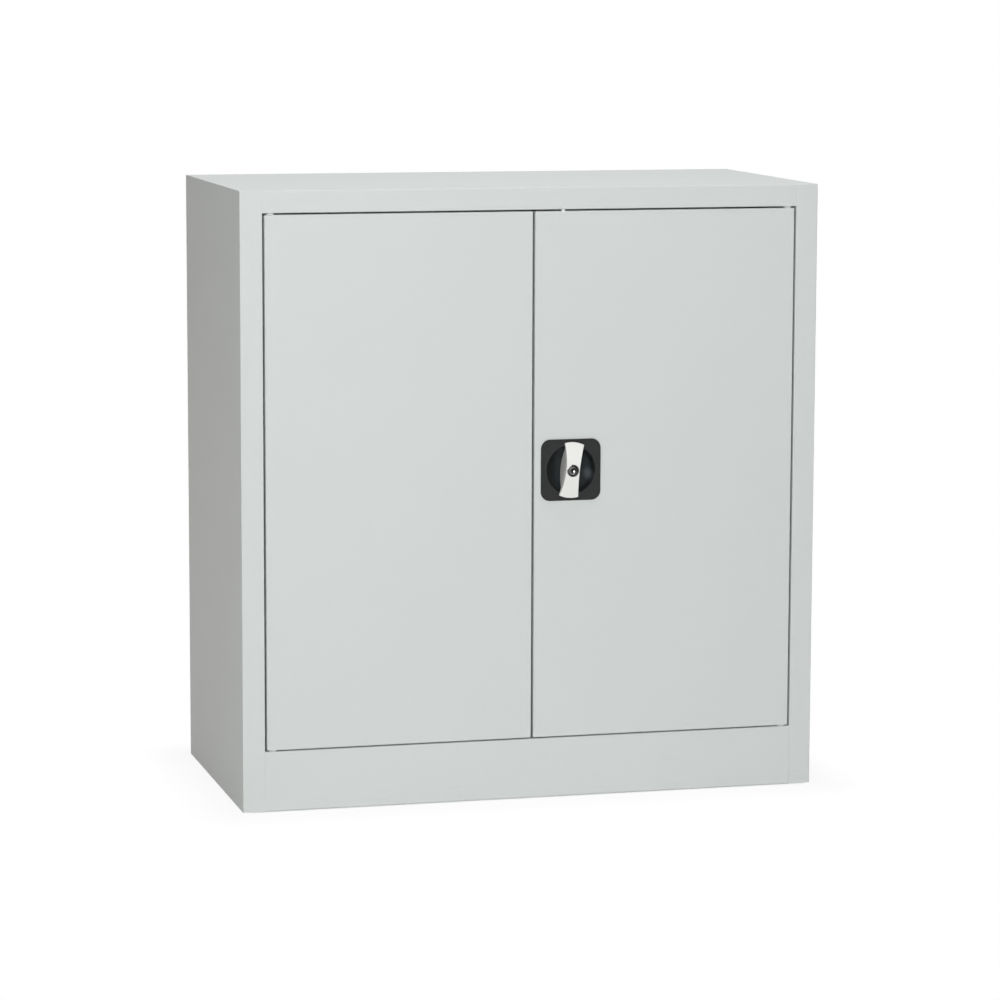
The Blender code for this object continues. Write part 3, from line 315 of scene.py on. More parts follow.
@dataclass(frozen=True)
class PowderCoat(Finish):
    """Baked powder coat: faint clouds, fine speckle, orange peel, and thin worn folds.

    The worn folds are the edges of a box, where a low and a high corner are given.
    """

    low: Place = (0, 0, 0)
    high: Place = (0, 0, 0)
    gloss: float = 0.50
    fold: Point = (0.0022, 0.0006)
    dirt: Colour = (0.36, 0.35, 0.33)
    primer: Colour = (0.50, 0.51, 0.50)

    def constants(self) -> dict:
        """A low sheen, so that the sides stay matt at a glancing angle."""
        return {"Specular IOR Level": 0.22}

    def folds(self, graph: Graph, point: Socket) -> Socket:
        """A mask of the edges of the sheet's box.

        Args:
            graph: The material's graph.
            point: The point on the surface.

        Returns:
            1 on the edges and 0 away from them.
        """
        near = []
        for axis, part in enumerate(graph.split(point)):
            middle = (self.low[axis] + self.high[axis]) / 2
            half = (self.high[axis] - self.low[axis]) / 2
            near.append(abs(part - middle).ramp(half - self.fold[0], half - self.fold[1]))
        return (near[0] * near[1]).most(near[1] * near[2]).most(near[0] * near[2])

    def paint(self, graph: Graph) -> dict:
        """Clouds and speckle in the colour, peel in the bump, scuffs low down.

        Args:
            graph: The material's graph.

        Returns:
            Sockets by the shader's input name.
        """
        point = graph.place()
        clouds = graph.noise(point, 0.32, 3.0)
        speckle = graph.noise(point, 0.0011, 2.0, 0.7)
        tone = 0.985 + 0.02 * clouds + 0.012 * speckle
        colour = graph.scaled(self.colour, tone)
        height = graph.split(point)[2]
        streaks = graph.noise(graph.moved(stretch=(1, 1, 9)), 0.05, 4.0, 0.6)
        scuffs = streaks.ramp(0.60, 0.72) * height.ramp(0.0, 0.11, 0.55, 0.0)
        colour = graph.mixed(scuffs * 0.16, colour, self.dirt)
        if self.low != self.high:
            chafed = graph.noise(point, 0.012, 4.0, 0.65).ramp(0.46, 0.66)
            worn = self.folds(graph, point) * chafed
            colour = graph.mixed(worn * 0.12, colour, self.primer)
        handled = graph.noise(point, 0.09, 4.0, 0.55)
        roughness = self.gloss - 0.03 + 0.07 * handled + 0.05 * speckle + 0.08 * scuffs
        peel = graph.noise(point, 0.0016, 2.0, 0.45)
        waves = graph.noise(point, 0.030, 1.0)
        return {
            "Base Color": colour,
            "Roughness": roughness,
            "Normal": graph.bump(peel + 3.0 * waves, 0.22, 0.00006),
        }


@dataclass(frozen=True)
class BrightSteel(Finish):
    """Zinc-plated steel: drawn streaks along one axis, spangle and a faint tarnish."""

    along: Place = (1, 1, 0.05)
    tarnished: Colour = (0.42, 0.41, 0.39)

    def constants(self) -> dict:
        """Bare metal."""
        return {"Metallic": 1.0}

    def paint(self, graph: Graph) -> dict:
        """Streaks in the gloss and bump, warm and cool plating in the colour.

        Args:
            graph: The material's graph.

        Returns:
            Sockets by the shader's input name.
        """
        point = graph.place()
        streaks = graph.noise(graph.moved(stretch=self.along), 0.0007, 3.0, 0.7)
        spangle = graph.noise(point, 0.006, 2.0)
        tarnish = graph.noise(point, 0.02, 4.0, 0.6).ramp(0.5, 0.75)
        red, green, blue = self.colour
        warm, cool = (red, green * 0.98, blue * 0.92), (red * 0.94, green * 0.99, blue * 1.04)
        plating = graph.mixed(spangle.ramp(0.35, 0.65), warm, cool)
        dulled = graph.mixed(tarnish * 0.35, plating, self.tarnished)
        return {
            "Base Color": graph.scaled(dulled, 0.92 + 0.16 * streaks),
            "Roughness": 0.20 + 0.16 * streaks + 0.14 * tarnish,
            "Normal": graph.bump(streaks, 0.25, 0.00004),
        }


@dataclass(frozen=True)
class WhiteNylon(Finish):
    """Milky moulded nylon with a matt skin."""

    def constants(self) -> dict:
        """Light that enters and leaves a little way off."""
        return {
            "Subsurface Weight": 0.18,
            "Subsurface Radius": (0.002, 0.0018, 0.0015),
            "Subsurface Scale": 1.0,
        }

    def paint(self, graph: Graph) -> dict:
        """Faint flow clouds and grime, with a fine matt skin.

        Args:
            graph: The material's graph.

        Returns:
            Sockets by the shader's input name.
        """
        point = graph.place()
        flow = graph.noise(point, 0.006, 3.0, 0.6)
        skin = graph.noise(point, 0.0004, 2.0)
        grime = graph.noise(point, 0.003, 4.0, 0.6).ramp(0.55, 0.8)
        milk = graph.scaled(self.colour, 0.95 + 0.08 * flow)
        return {
            "Base Color": graph.mixed(grime * 0.2, milk, (0.5, 0.48, 0.43)),
            "Roughness": 0.40 + 0.15 * skin + 0.10 * grime,
            "Normal": graph.bump(skin, 0.2, 0.00005),
        }


@dataclass(frozen=True)
class MouldedBlack(Finish):
    """Black moulding: a grained flat, and a smoother bowl with worn arcs, painted shade and a painted
    sheen.

    The grain fades out inside the bowl's radius about the centre.
    """

    centre: Place
    bowl: float
    # Centre of the painted sheen in the bowl.
    glint: Point = (0.0315, -0.0075)

    def constants(self) -> dict:
        """A low reflection, and a glossier skin where the coat is let through."""
        return {"Specular IOR Level": 0.25, "Coat Roughness": 0.14, "Coat IOR": 1.45}

    def paint(self, graph: Graph) -> dict:
        """Spark grain on the plate; in the bowl worn arcs, painted shade at the rim and on the left
        side, and a painted sheen.

        Args:
            graph: The material's graph.

        Returns:
            Sockets by the shader's input name.
        """
        near = graph.moved(self.centre)
        x, _, z = graph.split(near)
        reach = x.length(z)
        flat = reach.ramp(self.bowl - 0.0005, self.bowl + 0.0012)
        grain = graph.noise(near, 0.00042, 2.0, 0.6)
        clouds = graph.noise(near, 0.012, 4.0, 0.6)
        swept = graph.moved(self.centre, 0.3, (6, 1, 1))
        rubbed = graph.noise(swept, 0.006, 4.0, 0.6).ramp(0.52, 0.74)
        red, green, blue = self.colour
        # Painted shade and light in the bowl: lighter in the middle, darker round the rim and on the
        # left side, tinted cool like a sheen.
        rim = reach.ramp(self.bowl * 0.84, self.bowl * 0.95, 2.2, 0.6)
        painted_side_shade = x.ramp(-0.026, -0.010, 0.25, 1.0)
        inside = graph.scaled((red * 0.85, green * 0.98, blue * 1.08), rim * painted_side_shade)
        colour = graph.mixed(flat, inside, self.colour)
        colour = graph.scaled(colour, 0.86 + 0.22 * clouds + 0.10 * grain)
        colour = graph.mixed(rubbed * 0.10, colour, (0.10, 0.105, 0.11))
        # A painted sheen: a cool, lighter patch on the bowl's right wall, about the glint point.
        away = (1.5 * (x - self.glint[0])).length(z - self.glint[1])
        painted_sheen = away.ramp(0.001, 0.0125, 0.8, 0.0)
        colour = graph.mixed(painted_sheen, colour, (0.10, 0.115, 0.125))
        roughness = flat.ramp(0.0, 1.0, 0.36, 0.56) + 0.10 * grain + 0.06 * clouds - 0.05 * rubbed
        return {
            "Base Color": colour,
            "Roughness": roughness,
            "Coat Weight": flat.ramp(0.0, 1.0, 0.9, 0.0) * x.ramp(-0.020, 0.004, 0.15, 1.0),
            "Normal": graph.bump(grain * flat.ramp(0.0, 1.0, 0.25, 1.0), 0.55, 0.00006),
        }


@dataclass(frozen=True)
class LeverPaint(Finish):
    """Pale silver paint with fine flake under a thin clear coat, duller where it is gripped."""

    centre: Place
    tilt: float

    def constants(self) -> dict:
        """A thin clear coat over the flake."""
        return {"Specular IOR Level": 0.45, "Coat Weight": 0.25, "Coat Roughness": 0.18}

    def paint(self, graph: Graph) -> dict:
        """Flake in the colour and bump, grip marks towards both ends.

        Args:
            graph: The material's graph.

        Returns:
            Sockets by the shader's input name.
        """
        near = graph.moved(self.centre, self.tilt)
        along = abs(graph.split(near)[2])
        flake = graph.noise(near, 0.00035, 1.0)
        clouds = graph.noise(near, 0.010, 3.0, 0.6)
        grip = along.ramp(0.015, 0.040) * graph.noise(near, 0.005, 5.0, 0.65).ramp(0.50, 0.72)
        colour = graph.scaled(self.colour, 0.95 + 0.05 * clouds + 0.04 * flake)
        colour = graph.mixed(grip * 0.16, colour, (0.52, 0.51, 0.48))
        return {
            "Base Color": colour,
            "Roughness": 0.30 + 0.08 * clouds + 0.10 * flake + 0.14 * grip,
            "Normal": graph.bump(flake, 0.12, 0.00004),
        }


@dataclass(frozen=True)
class DarkChrome(Finish):
    """Dark, mirror-smooth plating with turned rings and small scratches about the lock's axis.

    On a plug the face is painted darker in the middle and to the right, as painted reflection, and a
    painted highlight of near-white metal stands beside the keyhole; on a barrel the left side is painted
    paler, as painted reflection.
    """

    centre: Place
    # Radius of a painted highlight beside the keyhole, with its centre and colour; 0 for none.
    rubbed: float = 0.0
    spot: Point = (0.0018, -0.0010)
    bright: Colour = (0.86, 0.86, 0.85)

    def constants(self) -> dict:
        """Bare metal."""
        return {"Metallic": 1.0}

    def paint(self, graph: Graph) -> dict:
        """Rings about the axis, scratches where the key goes in, and a painted highlight with painted
        reflection, or a painted paler side.

        Args:
            graph: The material's graph.

        Returns:
            Sockets by the shader's input name.
        """
        near = graph.moved(self.centre)
        x, y, z = graph.split(near)
        reach = x.length(z)
        ringed = graph.add("ShaderNodeCombineXYZ", {}, {0: reach, 1: y * 0.1})
        rings = graph.noise(ringed, 0.00025, 2.0, 0.6)
        swept = graph.moved(self.centre, 0.5, (8, 1, 1))
        scratches = graph.noise(swept, 0.0012, 3.0, 0.7).ramp(0.58, 0.70)
        nearby = reach.ramp(0.0015, 0.0060, 1.0, 0.25)
        colour = graph.scaled(self.colour, 0.85 + 0.25 * rings)
        colour = graph.mixed(scratches * nearby * 0.2, colour, (0.30, 0.29, 0.28))
        # On the plug: painted reflection, darker in the middle of the face and to the right, and a
        # painted highlight of near-white metal.
        if self.rubbed:
            rim = reach.ramp(0.0034, 0.0050, 0.16, 1.0) * x.ramp(0.0, 0.0040, 1.0, 0.25)
            away = (x - self.spot[0]).length(0.6 * (z - self.spot[1]))
            painted_glint = away.ramp(0.4 * self.rubbed, self.rubbed, 1.0, 0.0)
            colour = graph.mixed(painted_glint, graph.scaled(colour, rim), self.bright)
        else:
            # On the barrel: the left side painted paler, as painted reflection.
            colour = graph.scaled(colour, x.ramp(-0.0085, -0.0045, 3.2, 1.0))
        return {
            "Base Color": colour,
            "Roughness": 0.03 + 0.06 * rings + 0.22 * scratches * nearby,
            "Normal": graph.bump(rings, 0.08, 0.00003),
        }


GREY_PAINT = (0.655, 0.685, 0.672)
STEEL = (0.60, 0.60, 0.58)
ZINC_PRESSING = BrightSteel("zinc_pressing", "bright_steel", STEEL)
ZINC_TURNED = BrightSteel("zinc_turned", "bright_steel", STEEL)
ZINC_DRAWN = BrightSteel("zinc_drawn", "bright_steel", STEEL)
ZINC_CUT = BrightSteel("zinc_cut", "bright_steel", STEEL, (0.2, 1, 1))
WHITE_NYLON = WhiteNylon("nylon", "white_nylon", (0.84, 0.84, 0.81))

# Mesh work

# An edge that turns further than this is sharp
SHARP = math.radians(50)
# The least that a length is divided by
LEAST = 1e-6


def placed(name: str, data: bpy.types.ID) -> bpy.types.Object:
    """Put an object in the scene.

    Args:
        name: Its name.
        data: Its mesh, lamp or camera.

    Returns:
        The object.
    """
    made = bpy.data.objects.new(name, data)
    bpy.context.scene.collection.objects.link(made)
    return made


def radial_ring(reach: Reach, depth: float, count: int) -> list[Vector]:
    """A ring whose distance from the depth axis depends on the direction.

    Args:
        reach: The distance at an angle, counted from the right towards the top.
        depth: The ring's depth.
        count: How many points it has.

    Returns:
        Its points, the first one to the right.
    """
    angles = [2 * math.pi * i / count for i in range(count)]
    return [Vector((reach(a) * math.cos(a), depth, reach(a) * math.sin(a))) for a in angles]


def turned(profile: Sequence[Point], count: int) -> list[list[Vector]]:
    """Round rings about the depth axis, one for each pair of a radius and a depth."""
    return [radial_ring(lambda angle: radius, depth, count) for radius, depth in profile]


def flattened(ring: Sequence[Vector], depth: float) -> list[Vector]:
    """A ring with all its points moved to one depth."""
    return [Vector((point.x, depth, point.z)) for point in ring]


def quarter_round(radius: float, steps: int) -> list[Point]:
    """A rounded edge, from the side of a piece to its front.

    Args:
        radius: The radius of the rounding.
        steps: How many steps it has.

    Returns:
        Pairs of an inset from the side and a depth behind the front.
    """
    angles = [math.pi / 2 * step / steps for step in range(steps + 1)]
    return [(radius * (1 - math.cos(a)), radius * (1 - math.sin(a))) for a in angles]


def square_reach(half: float, corner: float, angle: float) -> float:
    """The distance to the edge of a square with round corners, in one direction.

    Args:
        half: Half the square's width.
        corner: The radius of its corners.
        angle: The direction.

    Returns:
        The distance.
    """
    c, s = abs(math.cos(angle)), abs(math.sin(angle))
    flat, inner = half / max(c, s), half - corner
    if flat * min(c, s) <= inner:
        return flat
    middle = inner * (c + s)
    return middle + math.sqrt(max(0.0, middle**2 - 2 * inner**2 + corner**2))


def slot_reach(half_length: float, half_width: float, angle: float) -> float:
    """The distance to the edge of an upright slot, in one direction."""
    c, s = abs(math.cos(angle)), abs(math.sin(angle))
    return min(half_width / max(c, LEAST), half_length / max(s, LEAST))


def cross_reach(wide: float, narrow: float, angle: float) -> float:
    """The distance to the edge of a cross recess, in one direction."""
    return narrow + (wide - narrow) * abs(math.cos(2 * angle)) ** 7


def hexagon_reach(radius: float, angle: float) -> float:
    """The distance to the edge of a hexagon, in one direction."""
    sixth = math.pi / 3
    return radius / math.cos((angle % sixth) - sixth / 2)


class Form:
    """A mesh on the bench, shaped with mesh operators and then saved as a piece."""

    def __init__(self) -> None:
        """Start with nothing."""
        self.mesh = bmesh.new()

    @classmethod
    def of_node(cls, node: str) -> "Form":
        """Start from a merged copy of a CAD node, with its flat faces whole again.

        Args:
            node: The node's name.

        Returns:
            The form.
        """
        form = cls()
        form.mesh.from_mesh(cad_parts[node].data)
        bmesh.ops.remove_doubles(form.mesh, verts=form.mesh.verts, dist=2e-6)
        bmesh.ops.dissolve_limit(
            form.mesh,
            angle_limit=math.radians(0.8),
            verts=form.mesh.verts,
            edges=form.mesh.edges,
            delimit={"NORMAL"},
        )
        return form

    def loft(self, rings: Sequence[Sequence[Vector]], closed: bool = False) -> "Form":
        """Skin a row of rings that have the same number of points.

        Args:
            rings: The rings, in order. One whose points coincide closes to a pole.
            closed: Whether the last ring is joined to the first.

        Returns:
            The form itself.
        """
        made = bmesh.ops.create_circle(self.mesh, segments=len(rings[0]), radius=1.0)["verts"]
        first = current = list(made)
        for vert, target in zip(current, rings[0]):
            vert.co = target
        for ring in rings[1:]:
            edges = self.between(current)
            grown = bmesh.ops.extrude_edge_only(self.mesh, edges=edges)["geom"]
            fresh = {item for item in grown if isinstance(item, bmesh.types.BMVert)}
            partners = []
            for vert in current:
                others = [edge.other_vert(vert) for edge in vert.link_edges]
                partners.append(next(other for other in others if other in fresh))
            current = partners
            for vert, target in zip(current, ring):
                vert.co = target
        if closed:
            edges = self.between(first) + self.between(current)
            bmesh.ops.bridge_loops(self.mesh, edges=edges)
        self.clean()
        return self

    def between(self, loop: Sequence[bmesh.types.BMVert]) -> list[bmesh.types.BMEdge]:
        """The edges that join the points of a closed loop in turn."""
        pairs = zip(loop, [*loop[1:], loop[0]])
        return [self.mesh.edges.get(pair) for pair in pairs]

    def spin(self, profile: Sequence[Point], centre: Vector, axis: Vector, steps: int = 64) -> "Form":
        """Turn a profile all the way round an axis.

        Args:
            profile: Points as distance from the axis and place along it.
            centre: Where the places along the axis start.
            axis: The direction of the axis.
            steps: How many steps the turn has.

        Returns:
            The form itself.
        """
        axis = axis.normalized()
        out = axis.orthogonal().normalized()
        verts = [self.mesh.verts.new(centre + out * r + axis * h) for r, h in profile]
        edges = [self.mesh.edges.new(pair) for pair in zip(verts, verts[1:])]
        bmesh.ops.spin(
            self.mesh,
            geom=verts + edges,
            cent=centre,
            axis=axis,
            angle=2 * math.pi,
            steps=steps,
            use_merge=True,
        )
        self.clean()
        return self

    def clean(self) -> None:
        """Merge what coincides and turn the faces outwards."""
        bmesh.ops.remove_doubles(self.mesh, verts=self.mesh.verts, dist=1e-6)
        bmesh.ops.dissolve_degenerate(self.mesh, dist=1e-7, edges=self.mesh.edges)
        bmesh.ops.recalc_face_normals(self.mesh, faces=self.mesh.faces)

    def bar(self, low: Sequence[float], high: Sequence[float]) -> "Form":
        """Add a plain bar.

        Args:
            low: Its low corner.
            high: Its high corner.

        Returns:
            The form itself.
        """
        low, high = Vector(low), Vector(high)
        matrix = Matrix.Translation((low + high) / 2) @ Matrix.Diagonal((*(high - low), 1.0))
        bmesh.ops.create_cube(self.mesh, size=1.0, matrix=matrix)
        return self

    def round_edges(self, width: float, turn: float = SHARP) -> "Form":
        """Round the edges that turn sharply, in two steps.

        Args:
            width: How far the rounding reaches.
            turn: The turn from which an edge counts as sharp.

        Returns:
            The form itself.
        """
        folded = [edge for edge in self.mesh.edges if len(edge.link_faces) == 2]
        sharp = [edge for edge in folded if edge.calc_face_angle() > turn]
        bmesh.ops.bevel(
            self.mesh,
            geom=sharp,
            offset=width,
            offset_type="OFFSET",
            affect="EDGES",
            segments=2,
            profile=0.5,
            material=-1,
            clamp_overlap=True,
        )
        return self

    def move(self, matrix: Matrix) -> "Form":
        """Turn and shift the whole form."""
        bmesh.ops.transform(self.mesh, matrix=matrix, verts=self.mesh.verts)
        return self

    def save(self, name: str, body: Body, finish: Finish, nodes: Sequence[str] = ()) -> bpy.types.Object:
        """Turn the form into a piece that rides on a body.

        Args:
            name: The piece's name.
            body: The body that it rides on.
            finish: What it is dressed in.
            nodes: The CAD nodes that it stands for.

        Returns:
            The piece.
        """
        data = bpy.data.meshes.new(name)
        self.mesh.to_mesh(data)
        self.mesh.free()
        stale = data.attributes.get("custom_normal")
        if stale:
            data.attributes.remove(stale)
        data.materials.clear()
        data.materials.append(finish.material())
        data.polygons.foreach_set("material_index", [0] * len(data.polygons))
        data.shade_smooth()
        data.set_sharp_from_angle(angle=SHARP)
        piece = placed(name, data)
        weighted = piece.modifiers.new("weighted_normals", "WEIGHTED_NORMAL")
        weighted.keep_sharp = True
        weighted.weight = 80
        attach(piece, body.value)
        if nodes:
            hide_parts(*nodes)
        log.info("%s: %d faces on %s", name, len(data.polygons), body.value)
        return piece


# Sub-assemblies


@dataclass
class SheetMetal:
    """Every folded sheet of the cupboard, in the CAD's shape, painted or plated."""

    whole: tuple[str, ...] = ("top_panel", "plinth_panel", "floor_panel", "back_panel")
    rows: tuple[str, ...] = ("front", "rear")

    def sheet(self, node: str, body: Body = Body.CARCASS) -> None:
        """Build one painted sheet, with paint that is worn along the folds of its box.

        Args:
            node: The sheet's CAD node.
            body: The body that it rides on.
        """
        low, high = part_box(node)
        paint = PowderCoat("paint_" + node, "grey_paint", GREY_PAINT, tuple(low), tuple(high))
        Form.of_node(node).save(node + "_sheet", body, paint, [node])

    def plated(self, node: str) -> None:
        """Build one plated pressing of the carcass."""
        Form.of_node(node).save(node + "_pressing", Body.CARCASS, ZINC_PRESSING, [node])

    def build(self) -> None:
        """Build the carcass, then the doors."""
        for side in Side:
            self.sheet(side.word + "_side_panel")
        for node in self.whole:
            self.sheet(node)
        for level in Level:
            self.sheet(level.word + "_shelf")
        for side in Side:
            for row in self.rows:
                self.plated(f"{side.word}_{row}_shelf_upright")
                for level in Level:
                    self.plated(f"{level.word}_{side.word}_{row}_shelf_clip")
        for side, body in DOORS.items():
            self.sheet(side.word + "_door_panel", body)
            self.sheet(side.word + "_door_stiffener", body)


@dataclass
class SeamPaint:
    """Paint that has run into the seams of the frame, just under its faces."""

    stile_x: float = 0.4225
    gap: float = 0.0003
    sunk: float = 0.00004
    thick: float = 0.0030
    bead: float = 0.0008
    step: float = 0.00018
    bend: float = 0.0018
    door_gap: float = 0.0025
    foot: float = 0.0005
    form: Form = field(default_factory=Form)

    def strip(self, side: Side, across: Point, deep: Point, tall: Point) -> None:
        """Add a strip of paint, between two distances from the middle of the cupboard."""
        self.form.bar(*zip(sorted(side.value * x for x in across), deep, tall))

    def build(self) -> None:
        """Fill the seams beside the rail and the plinth, and those under the top panel."""
        low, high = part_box("left_side_panel")
        stile, edge, front = self.stile_x, abs(low.x), low.y + self.sunk
        back, wall = front + self.thick, edge - self.sunk
        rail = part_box("left_door_panel")[1].z + self.door_gap
        upper = (rail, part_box("top_panel")[1].z - self.bend)
        lower = (self.foot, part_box("plinth_panel")[1].z)
        for side in Side:
            for tall in (upper, lower):
                self.strip(side, (stile - self.gap, stile), (front, back), tall)
                if side is Side.LEFT:
                    self.strip(side, (stile, stile + self.bead), (front + self.step, back), tall)
            tall = (high.z, high.z + self.gap / 2)
            self.strip(side, (stile, edge - self.bend), (front, back), tall)
            deep = (low.y + self.bend, high.y - self.bend)
            self.strip(side, (wall - self.thick, wall), deep, (high.z, high.z + self.gap))
        paint = PowderCoat("seam_paint", "grey_paint", GREY_PAINT)
        self.form.save("seam_paint", Body.CARCASS, paint)


@dataclass
class Hinges:
    """Headed pins in the frame and flanged nylon bushes in the doors."""

    pin_radius: float = 0.003
    head_radius: float = 0.0055
    head: float = 0.002
    dome: tuple[Point, ...] = ((0.0012, 0.0), (0.0003, 0.0004), (0.0, 0.0010))
    fine: float = 0.0002
    tip: float = 0.0004
    bore: float = 0.00325
    sleeve: float = 0.0045
    sleeve_length: float = 0.0063
    flange: float = 0.00625
    edge: float = 0.00025

    def start(self, node: str, end: End) -> tuple[Vector, Vector, float]:
        """Where a piece starts, which way it points, and how long it is.

        Args:
            node: The piece's CAD node.
            end: The corner of the door that it is in.

        Returns:
            The middle of its outer end, the direction outwards, and its length.
        """
        low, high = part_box(node)
        centre = (low + high) / 2
        centre.z = high.z if end is End.TOP else low.z
        return centre, Vector((0, 0, end.value)), high.z - low.z

    def pin(self, side: Side, end: End) -> None:
        """Build one pin, head outwards.

        Args:
            side: The side of the cupboard.
            end: The corner of the door that it is in.
        """
        node = f"{side.word}_{end.word}_hinge_pin"
        centre, out, length = self.start(node, end)
        radius, head = self.pin_radius, self.head_radius
        profile = [(0, 0), *((head - inset, -drop) for inset, drop in self.dome)]
        profile += [(head, self.fine - self.head), (head - self.fine, -self.head), (radius, -self.head)]
        profile += [(radius, self.tip - length), (radius - self.tip, -length), (0, -length)]
        form = Form().spin(profile, centre, out)
        form.save(node + "_turned", Body.CARCASS, ZINC_TURNED, [node])

    def bush(self, side: Side, end: End, body: Body) -> None:
        """Build one bush, flange outwards.

        Args:
            side: The side of the cupboard.
            end: The corner of the door that it is in.
            body: The door.
        """
        node = f"{side.word}_{end.word}_hinge_bush"
        centre, out, length = self.start(node, end)
        bore, sleeve, flange, e = self.bore, self.sleeve, self.flange, self.edge
        rim = length - self.sleeve_length
        profile = [(bore + e, 0), (flange - e, 0), (flange, -e), (flange, e - rim)]
        profile += [(flange - e, -rim), (sleeve, -rim), (sleeve, e - length)]
        profile += [(sleeve - e, -length), (bore, -length), (bore, -e), (bore + e, 0)]
        form = Form().spin(profile, centre, out)
        form.save(node + "_turned", body, WHITE_NYLON, [node])

    def build(self) -> None:
        """Build the four pins and the four bushes."""
        for side, body in DOORS.items():
            for end in End:
                self.pin(side, end)
                self.bush(side, end, body)


@dataclass
class DoorBuffer:
    """Small nylon buffer pushed into the top of the right door, which fills the gap over it."""

    x: float = 0.0466
    behind: float = 0.0036
    radius: float = 0.0031
    sunk: float = 0.0013
    tall: float = 0.0036
    edge: float = 0.0004
    steps: int = 48

    def build(self) -> None:
        """Build the buffer, upright."""
        low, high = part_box("right_door_panel")
        centre = Vector((self.x, low.y + self.behind, high.z - self.sunk))
        r, e, top = self.radius, self.edge, self.tall
        profile = [(0, 0), (r, 0), (r, top - e), (r - 0.3 * e, top - 0.3 * e), (r - e, top), (0, top)]
        form = Form().spin(profile, centre, Vector((0, 0, 1)), self.steps)
        form.save("door_top_buffer", Body.RIGHT_DOOR, WHITE_NYLON)


@dataclass
class Screw:
    """A small pan-head screw with a cross recess, seen from inside the door.

    The crown's insets are taken from the head's radius, and all drops from its top.
    """

    node: str
    name: str
    body: Body
    shank: float = 0.0014
    tip: float = 0.0003
    head: float = 0.0032
    crown: tuple[Point, ...] = (
        (0.0001, 0.0016), (0.0, 0.0014), (0.0, 0.0009), (0.0004, 0.0004), (0.0011, 0.0)
    )
    recess: tuple[tuple[Reach, float], ...] = (
        (partial(cross_reach, 0.0017, 0.0005), 0.0),
        (partial(cross_reach, 0.0013, 0.0003), 0.0009),
    )
    bottom: float = 0.0012
    count: int = 48

    def build(self, x: float, z: float) -> None:
        """Build the screw about an axis.

        Args:
            x: The X of its axis.
            z: The Z of its axis.
        """
        low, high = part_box(self.node)
        profile = [(0.0, low.y), (self.shank - self.tip, low.y), (self.shank, low.y + self.tip)]
        profile.append((self.shank, high.y - self.crown[0][1]))
        profile += [(self.head - inset, high.y - drop) for inset, drop in self.crown]
        rings = turned(profile, self.count)
        rings += [radial_ring(reach, high.y - drop, self.count) for reach, drop in self.recess]
        rings += turned([(0.0, high.y - self.bottom)], self.count)
        form = Form().loft(rings).move(Matrix.Translation((x, 0, z)))
        form.save(self.name, self.body, ZINC_TURNED, [self.node])


@dataclass
class SocketScrew(Screw):
    """A larger screw with a domed head and a hexagon socket."""

    shank: float = 0.0024
    tip: float = 0.0004
    head: float = 0.0046
    crown: tuple[Point, ...] = (
        (0.0001, 0.0024), (0.0, 0.0022), (0.0, 0.0013), (0.0005, 0.0005), (0.0015, 0.0)
    )
    recess: tuple[tuple[Reach, float], ...] = (
        (partial(hexagon_reach, 0.0018), 0.0),
        (partial(hexagon_reach, 0.0016), 0.0003),
        (partial(hexagon_reach, 0.0016), 0.0016),
    )
    bottom: float = 0.0018


